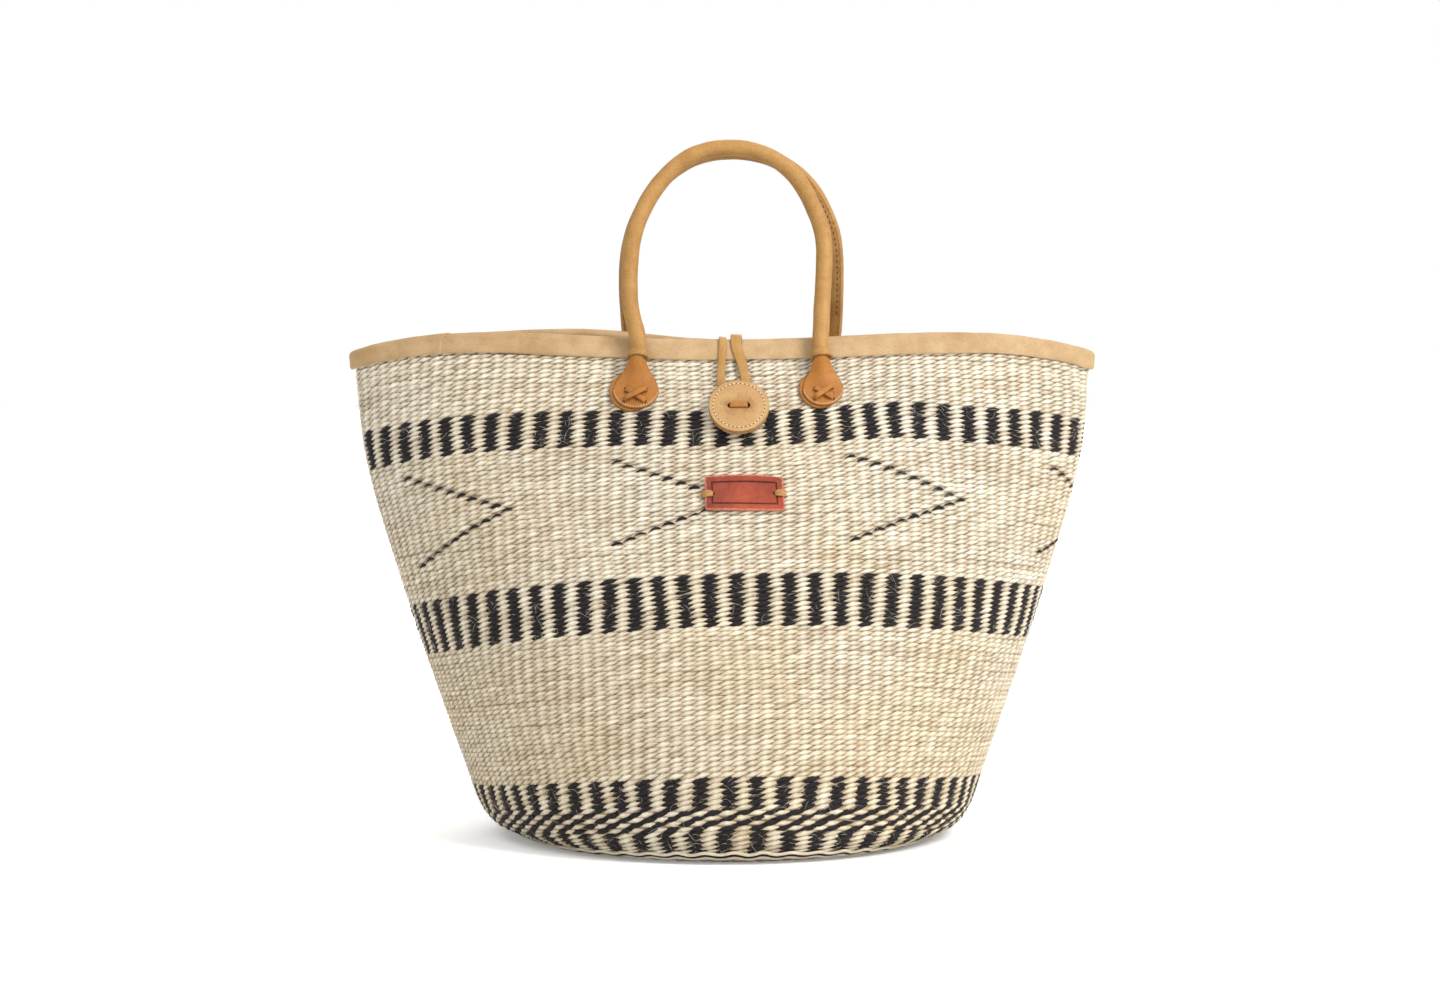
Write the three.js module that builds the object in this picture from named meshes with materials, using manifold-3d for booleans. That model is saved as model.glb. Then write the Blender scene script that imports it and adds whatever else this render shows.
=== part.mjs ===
// A kiondo: a tote basket twined from sisal, with a leather rim binding, two rolled leather
// handles on laced feet, a button with a loop that crosses the mouth, and a small leather patch.
// Millimetres, +Z up. The origin is on the floor under the middle of the base, the front is -Y.
import * as THREE from 'three';
import { mergeVertices } from 'three/addons/utils/BufferGeometryUtils.js';
import Module from 'manifold-3d';

const wasm = await Module();
wasm.setup();

// Woven body
const basketHeight = 342;
const mouthWidth = 522;
const mouthDepth = 92;
const bodyDepth = 300;
const baseDiameter = 250;
const wallThickness = 5;
const floorThickness = 5;
const rimPeakRise = 5;
const rimEndDrop = 7;

// Leather, thread and the gap that neighbours keep
const gap = 0.3;
const leatherThickness = 1.6;
const discThickness = 2;
const threadDiameter = 0.7;
const bindingDrop = 9.6;

// Handles
const handleDiameter = 11.5;
const coreDiameter = 7.4;
const archRadius = 65;
const handleRise = 131.5;
const handleBelowRim = 10;
const frontHandleSpacing = 125;
const rearHandleSpacing = 146;
const frontHandleOffset = 5;
const rearHandleOffset = 7;
const handleLeanDegrees = 13;

// Handle feet
const neckDiameter = 10.4;
const neckReach = 11;
const collarHeight = 6;
const collarThickness = 1.5;
const leafWidth = 34;
const leafLength = 39;
const backingWidth = 33;
const backingLength = 31;
const backingShift = 3;
const lacingSpanX = 15;
const lacingSpanY = 9;
const lacingBelowCollar = 27;
const lacingWidth = 3.5;
const lacingThickness = 1.4;

// Button
const buttonDiameter = 41;
const buttonBelowRim = 44.5;
const buttonOffset = 11;
const buttonStandOff = 4.2;
const buttonTiltDegrees = 5;
const buttonHoleSpacing = 11;
const buttonHoleDiameter = 4.6;
const buttonThongWidth = 4;
const buttonThongThickness = 1.6;
const shankDiameter = 4.4;
const knotDiameter = 13;
const knotThickness = 5;
const stitchInset = 3;

// Closure loop
const loopWidth = 5;
const loopTopOffset = 4.6;
const loopTopSpacing = 9;
const loopBellySpacing = 17.4;
const loopBellyAboveButton = 17;
const loopRearBelowRim = 34;
const loopSag = 1.5;

// Patch
const patchWidth = 52;
const patchHeight = 24;
const patchBow = 1.8;
const patchCorner = 2;
const patchThickness = 1.8;
const patchOffset = 14;
const patchBelowButton = 54.5;
const tieSpan = 7;
const tieThickness = 1.2;

// Facets
const segmentsAround = 56;
const wallLevels = 13;
const roundSides = 12;
const coreSides = 8;
const handleSteps = 32;
const loopSteps = 48;
const footStitches = 8;
const discSides = 32;

const baseRadius = baseDiameter / 2;
const mouthHalfWidth = mouthWidth / 2;
const mouthHalfDepth = mouthDepth / 2;
const bodyHalfDepth = bodyDepth / 2;
const handleRadius = handleDiameter / 2;
const handleHeight = basketHeight - handleBelowRim;
const buttonHeight = basketHeight - buttonBelowRim;
const loopRearHeight = basketHeight - loopRearBelowRim;
const patchCentreHeight = buttonHeight - patchBelowButton;
const bindingStand = gap + leatherThickness;

// Shape of the wall: share of the height, of the way from the base circle out to the mouth's
// width, of the way out to the body's depth, and of the way back in to the mouth's depth.
const wallShares = [
  [0, 0, 0, 0],
  [0.013, 0.17, 0.45, 0],
  [0.035, 0.29, 0.76, 0],
  [0.072, 0.37, 0.94, 0],
  [0.145, 0.43, 1, 0],
  [0.35, 0.605, 1, 0.067],
  [0.555, 0.78, 1, 0.27],
  [0.785, 0.935, 1, 0.615],
  [1, 1, 1, 1],
];
const wallProfile = new THREE.CatmullRomCurve3(wallShares.map(([height, width, swell, taper]) => {
  const halfWidth = baseRadius + width * (mouthHalfWidth - baseRadius);
  const swollen = baseRadius + swell * (bodyHalfDepth - baseRadius);
  const halfDepth = swollen - taper * (bodyHalfDepth - mouthHalfDepth);
  return new THREE.Vector3(halfWidth, halfDepth, height * basketHeight);
}));

// The sections run from a circle at the base to a flat oval with narrow ends at the mouth.
const mouthSectionPower = 1.4;
const endInsetShare = 1.5;

// The rim dips in the middle, rises on each side of it and drops at the two ends.
const waveRise = 2 * (rimPeakRise + Math.sqrt(rimPeakRise * (rimPeakRise + rimEndDrop)));
const waveFall = waveRise + rimEndDrop;

function wallPoint(angle, share, inset = 0) {
  const profile = wallProfile.getPoint(share);
  const across = Math.sin(angle);
  const along = Math.cos(angle);
  const power = 1 + (mouthSectionPower - 1) * share ** 2;
  const x = (profile.x - inset * endInsetShare) * across;
  const y = -(profile.y - inset) * Math.sign(along) * Math.abs(along) ** power;
  const wave = waveRise * across ** 2 - waveFall * across ** 4;
  return new THREE.Vector3(x, y, profile.z + wave * share ** 2);
}

function bisect(rises, low, high) {
  let from = low;
  let to = high;
  for (let i = 0; i < 40; i += 1) {
    const middle = (from + to) / 2;
    if (rises(middle)) to = middle;
    else from = middle;
  }
  return (from + to) / 2;
}

function shareBelowRim(drop) {
  return bisect((share) => wallProfile.getPoint(share).z > basketHeight - drop, 0, 1);
}

// A point of the front wall's outer face over a place x, and the frame that lies on the wall
// there: its X runs along the wall, its Y up the slope and its Z out of the basket.
function frontSpot(x, share) {
  return wallPoint(Math.asin(x / wallProfile.getPoint(share).x), share);
}

function wallFrame(x, height) {
  const probeShare = 0.002;
  const probe = wallThickness / 10;
  const share = bisect((trial) => frontSpot(x, trial).z > height, 0, 1);
  const right = frontSpot(x + probe, share).sub(frontSpot(x - probe, share)).normalize();
  const slope = frontSpot(x, share + probeShare).sub(frontSpot(x, share - probeShare));
  const outward = new THREE.Vector3().crossVectors(right, slope).normalize();
  const upward = new THREE.Vector3().crossVectors(outward, right);
  return new THREE.Matrix4().makeBasis(right, upward, outward).setPosition(frontSpot(x, share));
}

function turnedRound(matrix) {
  return new THREE.Matrix4().makeRotationZ(Math.PI).multiply(matrix);
}

// Solids and geometries
function toSolid(geometry) {
  const plain = geometry.clone();
  plain.deleteAttribute('normal');
  plain.deleteAttribute('uv');
  const merged = mergeVertices(plain);
  const index = merged.getIndex().array;
  const corners = [];
  for (let i = 0; i < index.length; i += 3) {
    const [a, b, c] = [index[i], index[i + 1], index[i + 2]];
    if (a !== b && b !== c && c !== a) corners.push(a, b, c);
  }
  return new wasm.Manifold(new wasm.Mesh({
    numProp: 3,
    vertProperties: merged.getAttribute('position').array,
    triVerts: new Uint32Array(corners),
  }));
}

function fromSolid(solid) {
  const mesh = solid.getMesh();
  const geometry = new THREE.BufferGeometry();
  geometry.setAttribute('position', new THREE.BufferAttribute(mesh.vertProperties, 3));
  geometry.setIndex(new THREE.BufferAttribute(mesh.triVerts, 1));
  return geometry;
}

function joined(geometries) {
  return fromSolid(geometries.map(toSolid).reduce((whole, piece) => whole.add(piece)));
}

function cut(geometry, tools) {
  return fromSolid(tools.map(toSolid).reduce((body, tool) => body.subtract(tool), toSolid(geometry)));
}

function box(width, height, depth, x = 0, y = 0, z = 0) {
  return new THREE.BoxGeometry(width, height, depth).translate(x, y, z);
}

function boxBetween(low, high) {
  const size = new THREE.Vector3().subVectors(high, low);
  const middle = new THREE.Vector3().addVectors(low, high).multiplyScalar(0.5);
  return box(size.x, size.y, size.z, middle.x, middle.y, middle.z);
}

function extruded(shape, depth, z, curveSegments = 10) {
  const settings = { depth, bevelEnabled: false, curveSegments };
  return new THREE.ExtrudeGeometry(shape, settings).translate(0, 0, z);
}

function rod(radius, low, high, sides = roundSides) {
  const geometry = new THREE.CylinderGeometry(radius, radius, high - low, sides);
  return geometry.rotateX(Math.PI / 2).translate(0, 0, (low + high) / 2);
}

function disc(radius, low, high, rounding) {
  const outline = [new THREE.Vector2(0, low), new THREE.Vector2(radius - rounding, low)];
  outline.push(new THREE.Vector2(radius, low + rounding), new THREE.Vector2(radius, high - rounding));
  outline.push(new THREE.Vector2(radius - rounding, high), new THREE.Vector2(0, high));
  return new THREE.LatheGeometry(outline, discSides).rotateX(Math.PI / 2);
}

// A straight piece one unit long in Z is bent along a curve, its X kept as near as can be to a
// given side, and its two ends may run past the curve's own.
function swept(straight, curve, side, overrun = 0) {
  const position = straight.getAttribute('position');
  for (let k = 0; k < position.count; k += 1) {
    const along = position.getZ(k) + 0.5;
    const end = Math.trunc(2 * along - 1);
    const tangent = curve.getTangent(along);
    const across = side.clone().addScaledVector(tangent, -tangent.dot(side)).normalize();
    const up = new THREE.Vector3().crossVectors(tangent, across);
    const place = curve.getPoint(along).addScaledVector(tangent, end * overrun);
    place.addScaledVector(across, position.getX(k)).addScaledVector(up, position.getY(k));
    position.setXYZ(k, place.x, place.y, place.z);
  }
  return straight;
}

function finish(color, roughness) {
  return new THREE.MeshStandardMaterial({ color, roughness, metalness: 0 });
}

function addPiece(parent, name, geometry, material) {
  const mesh = new THREE.Mesh(geometry, material);
  mesh.name = name;
  parent.add(mesh);
}

const sisal = () => finish(0xe3d5b0, 0.85);
const tanLeather = () => finish(0xc98e45, 0.6);
const bindingLeather = () => finish(0xc79c68, 0.75);
const patchLeather = () => finish(0x9c3f24, 0.5);
const thread = () => finish(0xefe3c4, 0.8);
const rope = () => finish(0xcdb98c, 0.9);
const raffia = () => finish(0xb98b4a, 0.7);

// Stations of a closed outline are carried round the basket on the wall's own section.
function aroundWall(stations) {
  const outline = stations.map((s) => new THREE.Vector2(baseRadius * s.spread, s.share * basketHeight));
  const geometry = new THREE.LatheGeometry(outline, segmentsAround);
  const position = geometry.getAttribute('position');
  for (let k = 0; k < position.count; k += 1) {
    const station = stations[k % stations.length];
    const turn = Math.floor(k / stations.length) / segmentsAround;
    const point = wallPoint(2 * Math.PI * turn, station.share, station.inset);
    position.setXYZ(k, point.x * station.spread, point.y * station.spread, point.z + station.lift);
  }
  return geometry;
}

// The binding's own levels, so that it lies on the wall facet for facet
const bindingShares = [bindingDrop, bindingDrop / 2].map(shareBelowRim);

function wovenBody(holes) {
  const levelShares = [...bindingShares];
  for (let i = 0; i <= wallLevels; i += 1) levelShares.push(i / wallLevels);
  levelShares.sort((a, b) => a - b);
  const stations = [{ share: 0, inset: 0, spread: 0, lift: 0 }];
  for (const share of levelShares) stations.push({ share, inset: 0, spread: 1, lift: 0 });
  for (const share of levelShares.reverse()) {
    stations.push({ share, inset: wallThickness, spread: 1, lift: floorThickness * (1 - share) ** 2 });
  }
  stations.push({ share: 0, inset: wallThickness, spread: 0, lift: floorThickness });
  return cut(aroundWall(stations), holes);
}

function rimBinding() {
  const middle = wallThickness / 2;
  const foldSteps = 6;
  const faceOfStrip = (reach) => {
    const below = (share, inset) => ({ share, inset, spread: 1, lift: 0 });
    const face = bindingShares.map((share) => below(share, middle - reach));
    for (let i = 0; i <= foldSteps; i += 1) {
      const angle = Math.PI * i / foldSteps;
      const inset = middle - reach * Math.cos(angle);
      face.push({ share: 1, inset, spread: 1, lift: reach * Math.sin(angle) });
    }
    return [...face, ...bindingShares.map((share) => below(share, middle + reach)).reverse()];
  };
  const outer = faceOfStrip(middle + bindingStand);
  const inner = faceOfStrip(middle + gap).reverse();
  return aroundWall([...outer, ...inner, outer[0]]);
}

// Levels above the wall, measured along a foot's Z
const backingLevel = gap;
const leafLevel = backingLevel + leatherThickness + gap;
const lacingLevel = leafLevel + leatherThickness + gap;
const crossingLevel = lacingLevel + lacingThickness + gap;
const insideLevel = -wallThickness - gap - lacingThickness;
const collarRadius = neckDiameter / 2 + gap + collarThickness;
const neckLevel = bindingStand + gap + collarRadius + gap;
const neckTop = collarHeight / 2 + neckReach;

const widestShare = 0.66;

const lacingCorners = [[-1, 1], [1, 1], [-1, -1], [1, -1]].map(([sideX, sideY]) => ({
  x: sideX * lacingSpanX / 2,
  y: sideY * lacingSpanY / 2 - lacingBelowCollar,
}));

// Slits for the lacing, long enough to pass both leaves and the wall
function slits() {
  const width = lacingThickness + 2 * gap;
  const height = lacingWidth + 2 * gap;
  return lacingCorners.map(({ x, y }) => box(width, height, wallThickness * 4, x, y));
}

function leafSolid() {
  const neckHalf = neckDiameter / 2;
  const half = leafWidth / 2;
  const top = -collarHeight / 2 - gap;
  const bottom = -leafLength;
  const widest = bottom * widestShare;
  const leaf = new THREE.Shape();
  leaf.moveTo(-neckHalf, top);
  leaf.bezierCurveTo(-neckHalf, bottom * 0.3, -half, bottom * 0.42, -half, widest);
  leaf.bezierCurveTo(-half, bottom * 0.87, -half * 0.55, bottom, 0, bottom);
  leaf.bezierCurveTo(half * 0.55, bottom, half, bottom * 0.87, half, widest);
  leaf.bezierCurveTo(half, bottom * 0.42, neckHalf, bottom * 0.3, neckHalf, top);
  const plate = extruded(leaf, leatherThickness, leafLevel, 6);
  const neck = rod(neckHalf, -collarHeight, neckTop).rotateX(-Math.PI / 2).translate(0, 0, neckLevel);
  const slope = new THREE.Shape();
  const rampTop = neckLevel + neckHalf * 0.85;
  slope.moveTo(top, leafLevel + leatherThickness / 2);
  slope.lineTo(top, rampTop);
  slope.lineTo(-collarHeight, rampTop);
  slope.lineTo(-lacingBelowCollar * 0.66, leafLevel + leatherThickness);
  slope.lineTo(-lacingBelowCollar * 0.7, leafLevel + leatherThickness / 2);
  const ramp = extruded(slope, neckHalf * 1.6, -neckHalf * 0.8);
  ramp.applyMatrix4(new THREE.Matrix4().makeBasis(
    new THREE.Vector3(0, 1, 0), new THREE.Vector3(0, 0, 1), new THREE.Vector3(1, 0, 0)));
  return cut(joined([plate, neck, ramp]), slits());
}

function backingSolid() {
  const leaf = new THREE.Shape();
  const centre = -leafLength - leatherThickness + backingLength / 2;
  leaf.absellipse(-backingShift, centre, backingWidth / 2, backingLength / 2, 0, 2 * Math.PI);
  return cut(extruded(leaf, leatherThickness, backingLevel, 12), slits());
}

function collarSolid() {
  const inner = neckDiameter / 2 + gap;
  const half = collarHeight / 2;
  const outline = [
    new THREE.Vector2(inner, -half),
    new THREE.Vector2(collarRadius, -half),
    new THREE.Vector2(collarRadius, half),
    new THREE.Vector2(inner, half),
    new THREE.Vector2(inner, -half),
  ];
  return new THREE.LatheGeometry(outline, roundSides * 2).translate(0, 0, neckLevel);
}

// The lacing is one thong: two strips that cross over the leaf, four legs through the wall, two strips inside
function lacingSolid() {
  const halfThick = lacingThickness / 2;
  const halfWide = lacingWidth / 2;
  const reach = Math.hypot(lacingSpanX, lacingSpanY) + lacingThickness;
  const lean = Math.atan2(lacingSpanY, lacingSpanX);
  const strip = (level, turn) => box(reach, lacingWidth, lacingThickness)
    .rotateZ(turn).translate(0, -lacingBelowCollar, level + halfThick);
  const leg = (corner, top) => boxBetween(
    new THREE.Vector3(corner.x - halfThick, corner.y - halfWide, insideLevel),
    new THREE.Vector3(corner.x + halfThick, corner.y + halfWide, top));
  const [upLeft, upRight, downLeft, downRight] = lacingCorners;
  const inside = (low, high) => boxBetween(
    new THREE.Vector3(low.x - halfThick, low.y, insideLevel),
    new THREE.Vector3(high.x + halfThick, high.y, insideLevel + lacingThickness));
  return joined([
    strip(lacingLevel, -lean), strip(crossingLevel, lean),
    leg(upLeft, lacingLevel + lacingThickness), leg(downRight, lacingLevel + lacingThickness),
    leg(upRight, crossingLevel + lacingThickness), leg(downLeft, crossingLevel + lacingThickness),
    inside(downLeft, upLeft), inside(downRight, upRight),
  ]);
}

// The seam that holds both leaves together runs round the lower edge of the front leaf
function footStitching() {
  const widest = leafLength * widestShare;
  const radiusX = leafWidth / 2 - stitchInset / 2;
  const radiusY = leafLength - widest - stitchInset / 2;
  const seam = new THREE.Shape();
  seam.absellipse(0, -widest, radiusX, radiusY, Math.PI, 2 * Math.PI, false);
  seam.absellipse(0, -widest, radiusX - threadDiameter, radiusY - threadDiameter, 2 * Math.PI, Math.PI, true);
  return extruded(seam, threadDiameter, lacingLevel, footStitches);
}

// Knots lie behind the wall, clear of its curve
const knotLevel = -wallThickness - 3 * gap;

const wallHoles = [];

function addFoot(basket, name, frame) {
  const foot = new THREE.Group();
  foot.applyMatrix4(frame);
  addPiece(foot, `${name}_leaf`, leafSolid(), tanLeather());
  addPiece(foot, `${name}_backing`, backingSolid(), tanLeather());
  addPiece(foot, `${name}_collar`, collarSolid(), tanLeather());
  addPiece(foot, `${name}_lacing`, lacingSolid(), tanLeather());
  addPiece(foot, `${name}_stitching`, footStitching(), thread());
  basket.add(foot);
  wallHoles.push(...slits().map((slit) => slit.applyMatrix4(frame)));
}

// Centre line of a handle in its own plane: a leg, a half circle and a leg. The handle swings on
// the outer edge of its two leg ends, so the centre line lies one radius behind the hinge.
function handlePath(legSpacing, archHalf) {
  const legHalf = legSpacing / 2;
  const archCentre = handleRise - archRadius;
  const points = [];
  const arcSteps = 8;
  const heightShares = [0, 0.2, 0.45, 0.72];
  const reachShares = [0, 0.02, 0.3, 0.8];
  const legPoint = (side, i) => new THREE.Vector3(
    side * (legHalf + reachShares[i] * (archHalf - legHalf)),
    handleRadius,
    heightShares[i] * archCentre + gap / 2);
  for (let i = 0; i < heightShares.length; i += 1) points.push(legPoint(-1, i));
  for (let i = 0; i <= arcSteps; i += 1) {
    const angle = Math.PI * (1 - i / arcSteps);
    const rise = archCentre + archRadius * Math.sin(angle);
    points.push(new THREE.Vector3(archHalf * Math.cos(angle), handleRadius, rise));
  }
  for (let i = heightShares.length - 1; i >= 0; i -= 1) points.push(legPoint(1, i));
  return new THREE.CatmullRomCurve3(points);
}

function tube(path, radius, sides, overrun = 0) {
  const straight = new THREE.CylinderGeometry(radius, radius, 1, sides, handleSteps);
  return swept(straight.rotateX(Math.PI / 2), path, new THREE.Vector3(0, 1, 0), overrun);
}

function addHandle(basket, name, spacing, offset, around) {
  const frames = [-1, 1].map((side) => wallFrame(offset + side * spacing / 2, handleHeight));
  const pivotInFoot = new THREE.Vector3(0, neckTop + gap / 2, neckLevel + handleRadius);
  const [left, right] = frames.map((frame) => pivotInFoot.clone().applyMatrix4(frame));
  const archHalf = archRadius + (spacing - frontHandleSpacing) / 2;
  const path = handlePath(right.x - left.x, archHalf);
  const handle = new THREE.Group();
  handle.position.addVectors(left, right).multiplyScalar(0.5).applyMatrix4(around);
  handle.rotation.order = 'ZXY';
  handle.rotation.z = around.elements[0] < 0 ? Math.PI : 0;
  handle.rotation.x = -THREE.MathUtils.degToRad(handleLeanDegrees);
  const boreRadius = coreDiameter / 2 + gap;
  const sleeve = cut(tube(path, handleRadius, roundSides), [tube(path, boreRadius, coreSides, gap)]);
  addPiece(handle, `${name}_handle_sleeve`, sleeve, tanLeather());
  addPiece(handle, `${name}_handle_core`, tube(path, coreDiameter / 2, coreSides), rope());
  basket.add(handle);
  frames.forEach((frame, i) => {
    addFoot(basket, `${name}_${i === 0 ? 'left' : 'right'}_foot`, frame.clone().premultiply(around));
  });
}

// Levels along the button's own axis
const backDiscLevel = buttonStandOff;
const frontDiscLevel = backDiscLevel + discThickness + gap;
const barLevel = frontDiscLevel + discThickness + gap;

function buttonDisc(level) {
  const solid = disc(buttonDiameter / 2, level, level + discThickness, discThickness / 4);
  const hole = rod(buttonHoleDiameter / 2, level - discThickness, level + discThickness * 2);
  return cut(solid, [-1, 1].map((side) => hole.clone().translate(side * buttonHoleSpacing / 2, 0, 0)));
}

// The seam that holds both discs together
function buttonStitching() {
  const outer = buttonDiameter / 2 - stitchInset;
  const top = barLevel + threadDiameter;
  const inner = outer - threadDiameter;
  const corners = [[outer, barLevel], [outer, top], [inner, top], [inner, barLevel]];
  const outline = [...corners, corners[0]].map(([radius, level]) => new THREE.Vector2(radius, level));
  return new THREE.LatheGeometry(outline, discSides).rotateX(Math.PI / 2);
}

function buttonThong() {
  const halfHole = buttonHoleSpacing / 2;
  const bridgeTop = backDiscLevel - gap;
  const bridgeLow = bridgeTop - buttonThongThickness;
  const bar = box(buttonHoleSpacing + buttonThongThickness, buttonThongWidth, buttonThongThickness);
  const bridge = box(buttonHoleSpacing + buttonThongThickness, shankDiameter, buttonThongThickness);
  const legs = [-1, 1].map((side) => rod(buttonThongThickness, bridgeLow, barLevel + buttonThongThickness)
    .translate(side * halfHole, 0, 0));
  return joined([
    bar.translate(0, 0, barLevel + buttonThongThickness / 2),
    bridge.translate(0, 0, bridgeLow + buttonThongThickness / 2),
    ...legs,
    rod(shankDiameter / 2, knotLevel - knotThickness / 2, bridgeTop),
    disc(knotDiameter / 2, knotLevel - knotThickness, knotLevel, knotThickness / 3),
  ]);
}

function addButton(basket) {
  const frame = wallFrame(buttonOffset, buttonHeight);
  const tilt = new THREE.Matrix4().makeRotationX(-THREE.MathUtils.degToRad(buttonTiltDegrees));
  const button = new THREE.Group();
  button.applyMatrix4(frame.clone().multiply(tilt));
  addPiece(button, 'button_back_disc', buttonDisc(backDiscLevel), tanLeather());
  addPiece(button, 'button_front_disc', buttonDisc(frontDiscLevel), tanLeather());
  addPiece(button, 'button_stitching', buttonStitching(), thread());
  addPiece(button, 'button_thong', buttonThong(), tanLeather());
  basket.add(button);
  const hole = rod(shankDiameter / 2 + gap, -wallThickness * 2, wallThickness);
  wallHoles.push(hole.applyMatrix4(button.matrix));
}

// The loop is one flat thong: round the button's shank, up the wall, over both rims and the
// mouth between them, and down the rear wall to a hole, behind which its two ends are knotted.
function overRim(x, angle, turned) {
  const top = wallPoint(Math.asin((turned ? -x : x) / mouthHalfWidth), 1, wallThickness / 2);
  const reach = wallThickness / 2 + bindingStand + gap + lacingThickness / 2;
  const point = new THREE.Vector3(top.x, top.y - reach * Math.cos(angle), top.z + reach * Math.sin(angle));
  return turned ? new THREE.Vector3(-point.x, -point.y, point.z) : point;
}

function onWall(x, height, level, turned = false) {
  const point = new THREE.Vector3(0, 0, level).applyMatrix4(wallFrame(turned ? -x : x, height));
  return turned ? new THREE.Vector3(-point.x, -point.y, point.z) : point;
}

function closureLoop() {
  const half = lacingThickness / 2;
  const shankPath = shankDiameter / 2 + gap * 2 + loopWidth / 2;
  const bellyHeight = buttonHeight + loopBellyAboveButton;
  const bindingEdge = basketHeight - bindingDrop;
  const lifted = bindingStand + gap + half;
  const strands = [-1, 1].map((side) => {
    const topX = loopTopOffset + side * loopTopSpacing / 2;
    const bellyX = buttonOffset - gap + side * loopBellySpacing / 2;
    const points = [
      onWall(buttonOffset + side * shankPath, buttonHeight - gap, gap + half),
      onWall(buttonOffset + side * shankPath * 1.2, buttonHeight + loopWidth, gap + half),
      onWall(bellyX, bellyHeight, gap + half * 2),
      onWall((bellyX + topX * 2) / 3, bindingEdge - loopWidth, lifted),
      ...[0, 0.25, 0.5].map((share) => overRim(topX, Math.PI * share, false)),
      new THREE.Vector3(topX, 0, overRim(topX, Math.PI / 2, false).z - loopSag),
      ...[0.5, 0.25, 0].map((share) => overRim(topX, Math.PI * share, true)),
      onWall(topX, bindingEdge - loopWidth, lifted, true),
      onWall(topX, loopRearHeight, gap + half, true),
    ];
    const flat = new THREE.BoxGeometry(loopWidth, lacingThickness, 1, 1, 1, loopSteps);
    return swept(flat, new THREE.CatmullRomCurve3(points), new THREE.Vector3(1, 0, 0));
  });
  const turn = new THREE.Shape();
  turn.absarc(0, 0, shankPath + loopWidth / 2, Math.PI, 2 * Math.PI, false);
  turn.absarc(0, 0, shankPath - loopWidth / 2, 2 * Math.PI, Math.PI, true);
  const bend = extruded(turn, lacingThickness, gap, 8).applyMatrix4(wallFrame(buttonOffset, buttonHeight));
  const rearFrame = turnedRound(wallFrame(-loopTopOffset, loopRearHeight));
  const spread = loopTopSpacing + loopWidth;
  const tail = boxBetween(
    new THREE.Vector3(-spread / 2, -lacingThickness, knotLevel - knotThickness / 2),
    new THREE.Vector3(spread / 2, lacingThickness, gap + lacingThickness));
  const knot = disc(spread / 2, knotLevel - knotThickness, knotLevel, knotThickness / 3);
  const slot = box(spread + 2 * gap, lacingThickness * 2 + 2 * gap, wallThickness * 4);
  wallHoles.push(slot.applyMatrix4(rearFrame));
  return joined([...strands, bend, tail.applyMatrix4(rearFrame), knot.applyMatrix4(rearFrame)]);
}

function patchSolid() {
  const half = patchWidth / 2;
  const low = -patchHeight / 2;
  const high = patchHeight / 2;
  const outline = new THREE.Shape();
  outline.moveTo(-half + patchCorner, low);
  outline.lineTo(half - patchCorner, low);
  outline.quadraticCurveTo(half, low, half, low + patchCorner);
  outline.lineTo(half, high - patchCorner);
  outline.quadraticCurveTo(half, high, half - patchCorner, high);
  outline.quadraticCurveTo(0, high + patchBow * 2, -half + patchCorner, high);
  outline.quadraticCurveTo(-half, high, -half, high - patchCorner);
  outline.lineTo(-half, low + patchCorner);
  outline.quadraticCurveTo(-half, low, -half + patchCorner, low);
  const hole = rod(tieThickness / 2 + gap, 0, patchThickness * 2);
  const holes = [-1, 1].map((side) => hole.clone().translate(side * (half - tieSpan / 2), 0, 0));
  return cut(extruded(outline, patchThickness, gap, 5), holes);
}

function tieSolid(side) {
  const half = tieThickness / 2;
  const low = -wallThickness - 2 * gap - tieThickness;
  const top = gap + patchThickness + gap + tieThickness;
  const inner = side * (patchWidth / 2 - tieSpan / 2);
  const outer = side * (patchWidth / 2 + tieSpan / 2);
  const leg = (x) => boxBetween(
    new THREE.Vector3(x - half, -half, low), new THREE.Vector3(x + half, half, top));
  const left = Math.min(inner, outer) - half;
  const right = Math.max(inner, outer) + half;
  const strip = (from) => boxBetween(
    new THREE.Vector3(left, -half, from), new THREE.Vector3(right, half, from + tieThickness));
  return joined([leg(inner), leg(outer), strip(top - tieThickness), strip(low)]);
}

function addPatch(basket) {
  const patch = new THREE.Group();
  const frame = wallFrame(patchOffset, patchCentreHeight);
  patch.applyMatrix4(frame);
  addPiece(patch, 'leather_patch', patchSolid(), patchLeather());
  addPiece(patch, 'patch_tie_left', tieSolid(-1), raffia());
  addPiece(patch, 'patch_tie_right', tieSolid(1), raffia());
  basket.add(patch);
  const hole = rod(tieThickness, -wallThickness * 2, wallThickness);
  const widths = [patchWidth - tieSpan, patchWidth + tieSpan];
  for (const place of widths.flatMap((width) => [-width / 2, width / 2])) {
    wallHoles.push(hole.clone().translate(place, 0, 0).applyMatrix4(frame));
  }
}

const basket = new THREE.Group();
const here = new THREE.Matrix4();
addHandle(basket, 'front', frontHandleSpacing, frontHandleOffset, here);
addHandle(basket, 'rear', rearHandleSpacing, -rearHandleOffset, turnedRound(here));
addButton(basket);
addPatch(basket);
addPiece(basket, 'closure_loop', closureLoop(), tanLeather());
addPiece(basket, 'rim_binding', rimBinding(), bindingLeather());
addPiece(basket, 'woven_body', wovenBody(wallHoles), sisal());

export default basket;
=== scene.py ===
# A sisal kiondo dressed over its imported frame: twined walls, rolled leather handles on laced feet,
# a button with its closing loop, a rim binding and a small patch. Metres, in the frame's own axes.
import math

import bmesh
import bpy
import numpy as np
from mathutils import Matrix, Vector


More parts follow.
